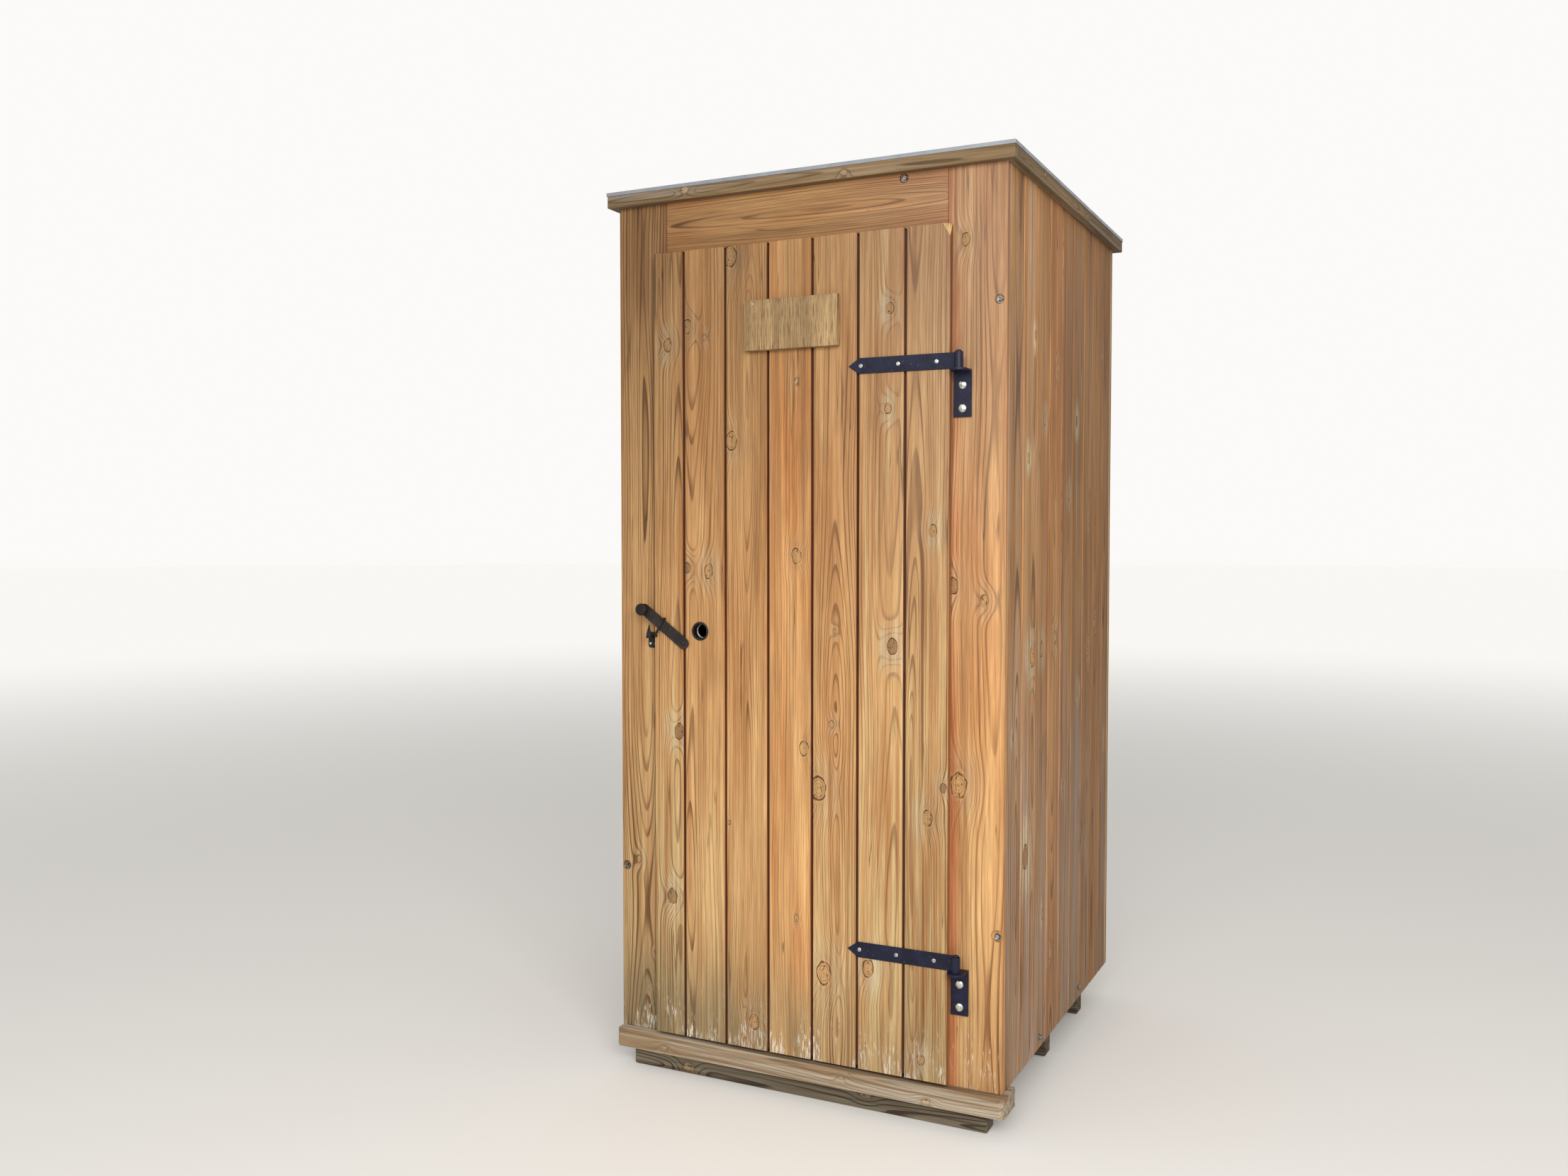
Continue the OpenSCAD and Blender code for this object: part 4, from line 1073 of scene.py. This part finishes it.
# Screws in the ledges
# The door boards are screwed to the ledges from the inside with zinc screws, two to a board. The heads sit
# just under the surface.

board_middles = (-0.335, -0.247, -0.132, -0.017, 0.098, 0.213, 0.318)
for node, name in (("door_ledge_lower", "lower"), ("door_ledge_upper", "upper")):
    low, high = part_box(node)
    for i, x in enumerate(board_middles):
        for j, up in enumerate((-0.026, 0.026)):
            screw = copy_of(screw_model, "%s_ledge_screw_%d" % (name, 2 * i + j + 1))
            stand(screw, (x, high.y, (low.z + high.z) / 2 + up), math.pi)
            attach(screw, "door")
bpy.data.objects.remove(screw_model)

# Sign board
# A blank offcut of pine, nailed near the door's top with its grain upright. It was stained once, and its fine
# rings have weathered to dark flecks.

sign_low, sign_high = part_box("sign_board")
sign_edge = 0.0014
sign = sawn("blank_sign_board", sign_low, sign_high, sign_edge)
# Slow-grown pine with rings of 3 mm, its stain gone thin and grey-brown.
sign_pine = wood("stained_pine_sign_board", "#BE9E6F", "#A5875E", "#54402B", "#B08656", "#9C8E72",
                 ring=0.0031, patch=0.8, dashes=0.7)
sign.data.materials.append(sign_pine)
lay_grain(sign, (sign_low.x - 0.1, sign_low.y, 0), (0, 0, 1), (0, 1, 0), (-0.25, 0.03), 14.4, half=0.9,
          grey=0.45, line=0.9, orange=0.3, tone=0.91)
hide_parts("sign_board")
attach(sign, "door")
sign_nails = ((0.088, 1.886), (-0.106, 1.888))
for i, (x, z) in enumerate(sign_nails):
    nail = turned("sign_nail_%d" % (i + 1),
                  [(0.0, 0.0), (0.0019, 0.0), (0.0021, 0.0004), (0.0016, 0.0009), (0.0, 0.001)],
                  (x, sign_low.y, z), steps=16)
    nail.data.materials.append(zinc_bolt)
    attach(nail, "door")

# Finger hole lining
# A short steel tube with a rolled rim, pressed into a hole in the second board. It is painted black, with a
# pale steel lip inside at its back end, whose light colour is partly a painted highlight.

# Pale grey steel with dark remains of paint: its light colour is partly a painted highlight of the lit far
# rim.
pale_lip_steel = bare_metal("pale_steel_lip_painted_highlight", 4.545, (0.4, paint("#6E6A66")), (0.6, paint("#BDB8B0")), 0.6,
                          (0.35, 0.6))
hole_r, tube_r, rim_r, rim_out = 0.018, 0.020, 0.023, 0.0025
lining = turned("finger_hole_tube", [
    (hole_r, -door_t), (tube_r, -door_t), (tube_r, 0.0), (rim_r - 0.0006, 0.0), (rim_r, 0.0008),
    (rim_r - 0.0005, 0.0019), (rim_r - 0.0018, rim_out), (hole_r + 0.0014, rim_out),
    (hole_r + 0.0003, 0.0019), (hole_r, 0.0009), (hole_r, -door_t)],
    (finger_x, door_low.y, finger_z), steps=56)
lining.data.materials.append(latch_black)
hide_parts("finger_hole_lining")
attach(lining, "door")
back_lip = turned("finger_hole_back_lip", [
    (hole_r + 0.0005, -0.0165), (hole_r - 0.0006, -0.0168), (hole_r - 0.0016, -0.0176),
    (hole_r - 0.0020, -0.0186), (hole_r - 0.0016, -0.0195), (hole_r + 0.0005, -0.0198),
    (hole_r + 0.0005, -0.0165)],
    (finger_x, door_low.y, finger_z), steps=56)
back_lip.data.materials.append(pale_lip_steel)
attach(back_lip, "door")

# Latch
# A flat bar with round ends turns on a riveted pin and runs through a guide loop. A turned knob near its tip
# lifts it off the catch. All is steel, painted black.

guide_edge = 0.0009
guide = eased_copy("latch_guide_loop", "latch_guide", guide_edge, 3)
guide.data.materials.append(latch_black)
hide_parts("latch_guide")
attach(guide, "door")
# The rivet: a flat disc behind the bar, a neck through the bar's hole and a domed head in front
pivot_x, pivot_z = -0.304, 1.080
neck_r, disc_t = 0.004, 0.0014
rivet = turned("latch_rivet", [
    (0.0, 0.0), (0.0098, 0.0), (0.010, 0.0007), (0.0095, disc_t), (neck_r, disc_t), (neck_r, 0.0066),
    (0.0062, 0.0067), (0.0064, 0.0074), (0.0052, 0.0084), (0.003, 0.0090), (0.0, 0.0092)],
    (pivot_x, door_low.y, pivot_z))
rivet.data.materials.append(latch_black)
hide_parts("latch_pin")
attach(rivet, "door")
# The bar's paint has worn to a dull brown-black where hands lift it.
bar_black = coated_steel("worn_black_paint_bar", "#1F1917", "#352C28", 0.48)
bar_edge = 0.0012
bar = eased_copy("latch_drop_bar", "latch_bar", bar_edge, 3)
bar.data.materials.append(bar_black)
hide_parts("latch_bar")
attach(bar, "latch")
knob_low, knob_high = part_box("latch_knob")
knob_out = knob_high.y - knob_low.y
knob_r = (knob_high.x - knob_low.x) / 2
knob = turned("latch_turned_knob", [
    (0.0, 0.0), (0.0100, 0.0), (0.0088, 0.0012), (0.0079, 0.0024), (0.0077, 0.0048), (0.0086, 0.0068),
    (knob_r - 0.0016, 0.0080), (knob_r - 0.0004, 0.0090), (knob_r, 0.0106), (knob_r, knob_out - 0.0035),
    (knob_r - 0.0004, knob_out - 0.0015), (knob_r - 0.0015, knob_out - 0.0004), (knob_r - 0.0027, knob_out),
    (0.0, knob_out - 0.0002)],
    ((knob_low.x + knob_high.x) / 2, knob_high.y, (knob_low.z + knob_high.z) / 2), steps=56)
knob.data.materials.append(latch_black)
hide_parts("latch_knob")
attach(knob, "latch")

# Flat faces
# Planed boards and pressed steel are flat right up to their rounded edges, so each piece's large faces keep
# their own direction and only its edges turn.
solids = set(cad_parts.values())
for piece in [o for o in bpy.context.scene.objects if o.type == "MESH" and o not in solids and o != floor]:
    flat = piece.modifiers.new("flat_faces", "WEIGHTED_NORMAL")
    flat.keep_sharp = True
    bpy.context.view_layer.objects.active = piece
    bpy.ops.object.modifier_apply(modifier=flat.name)
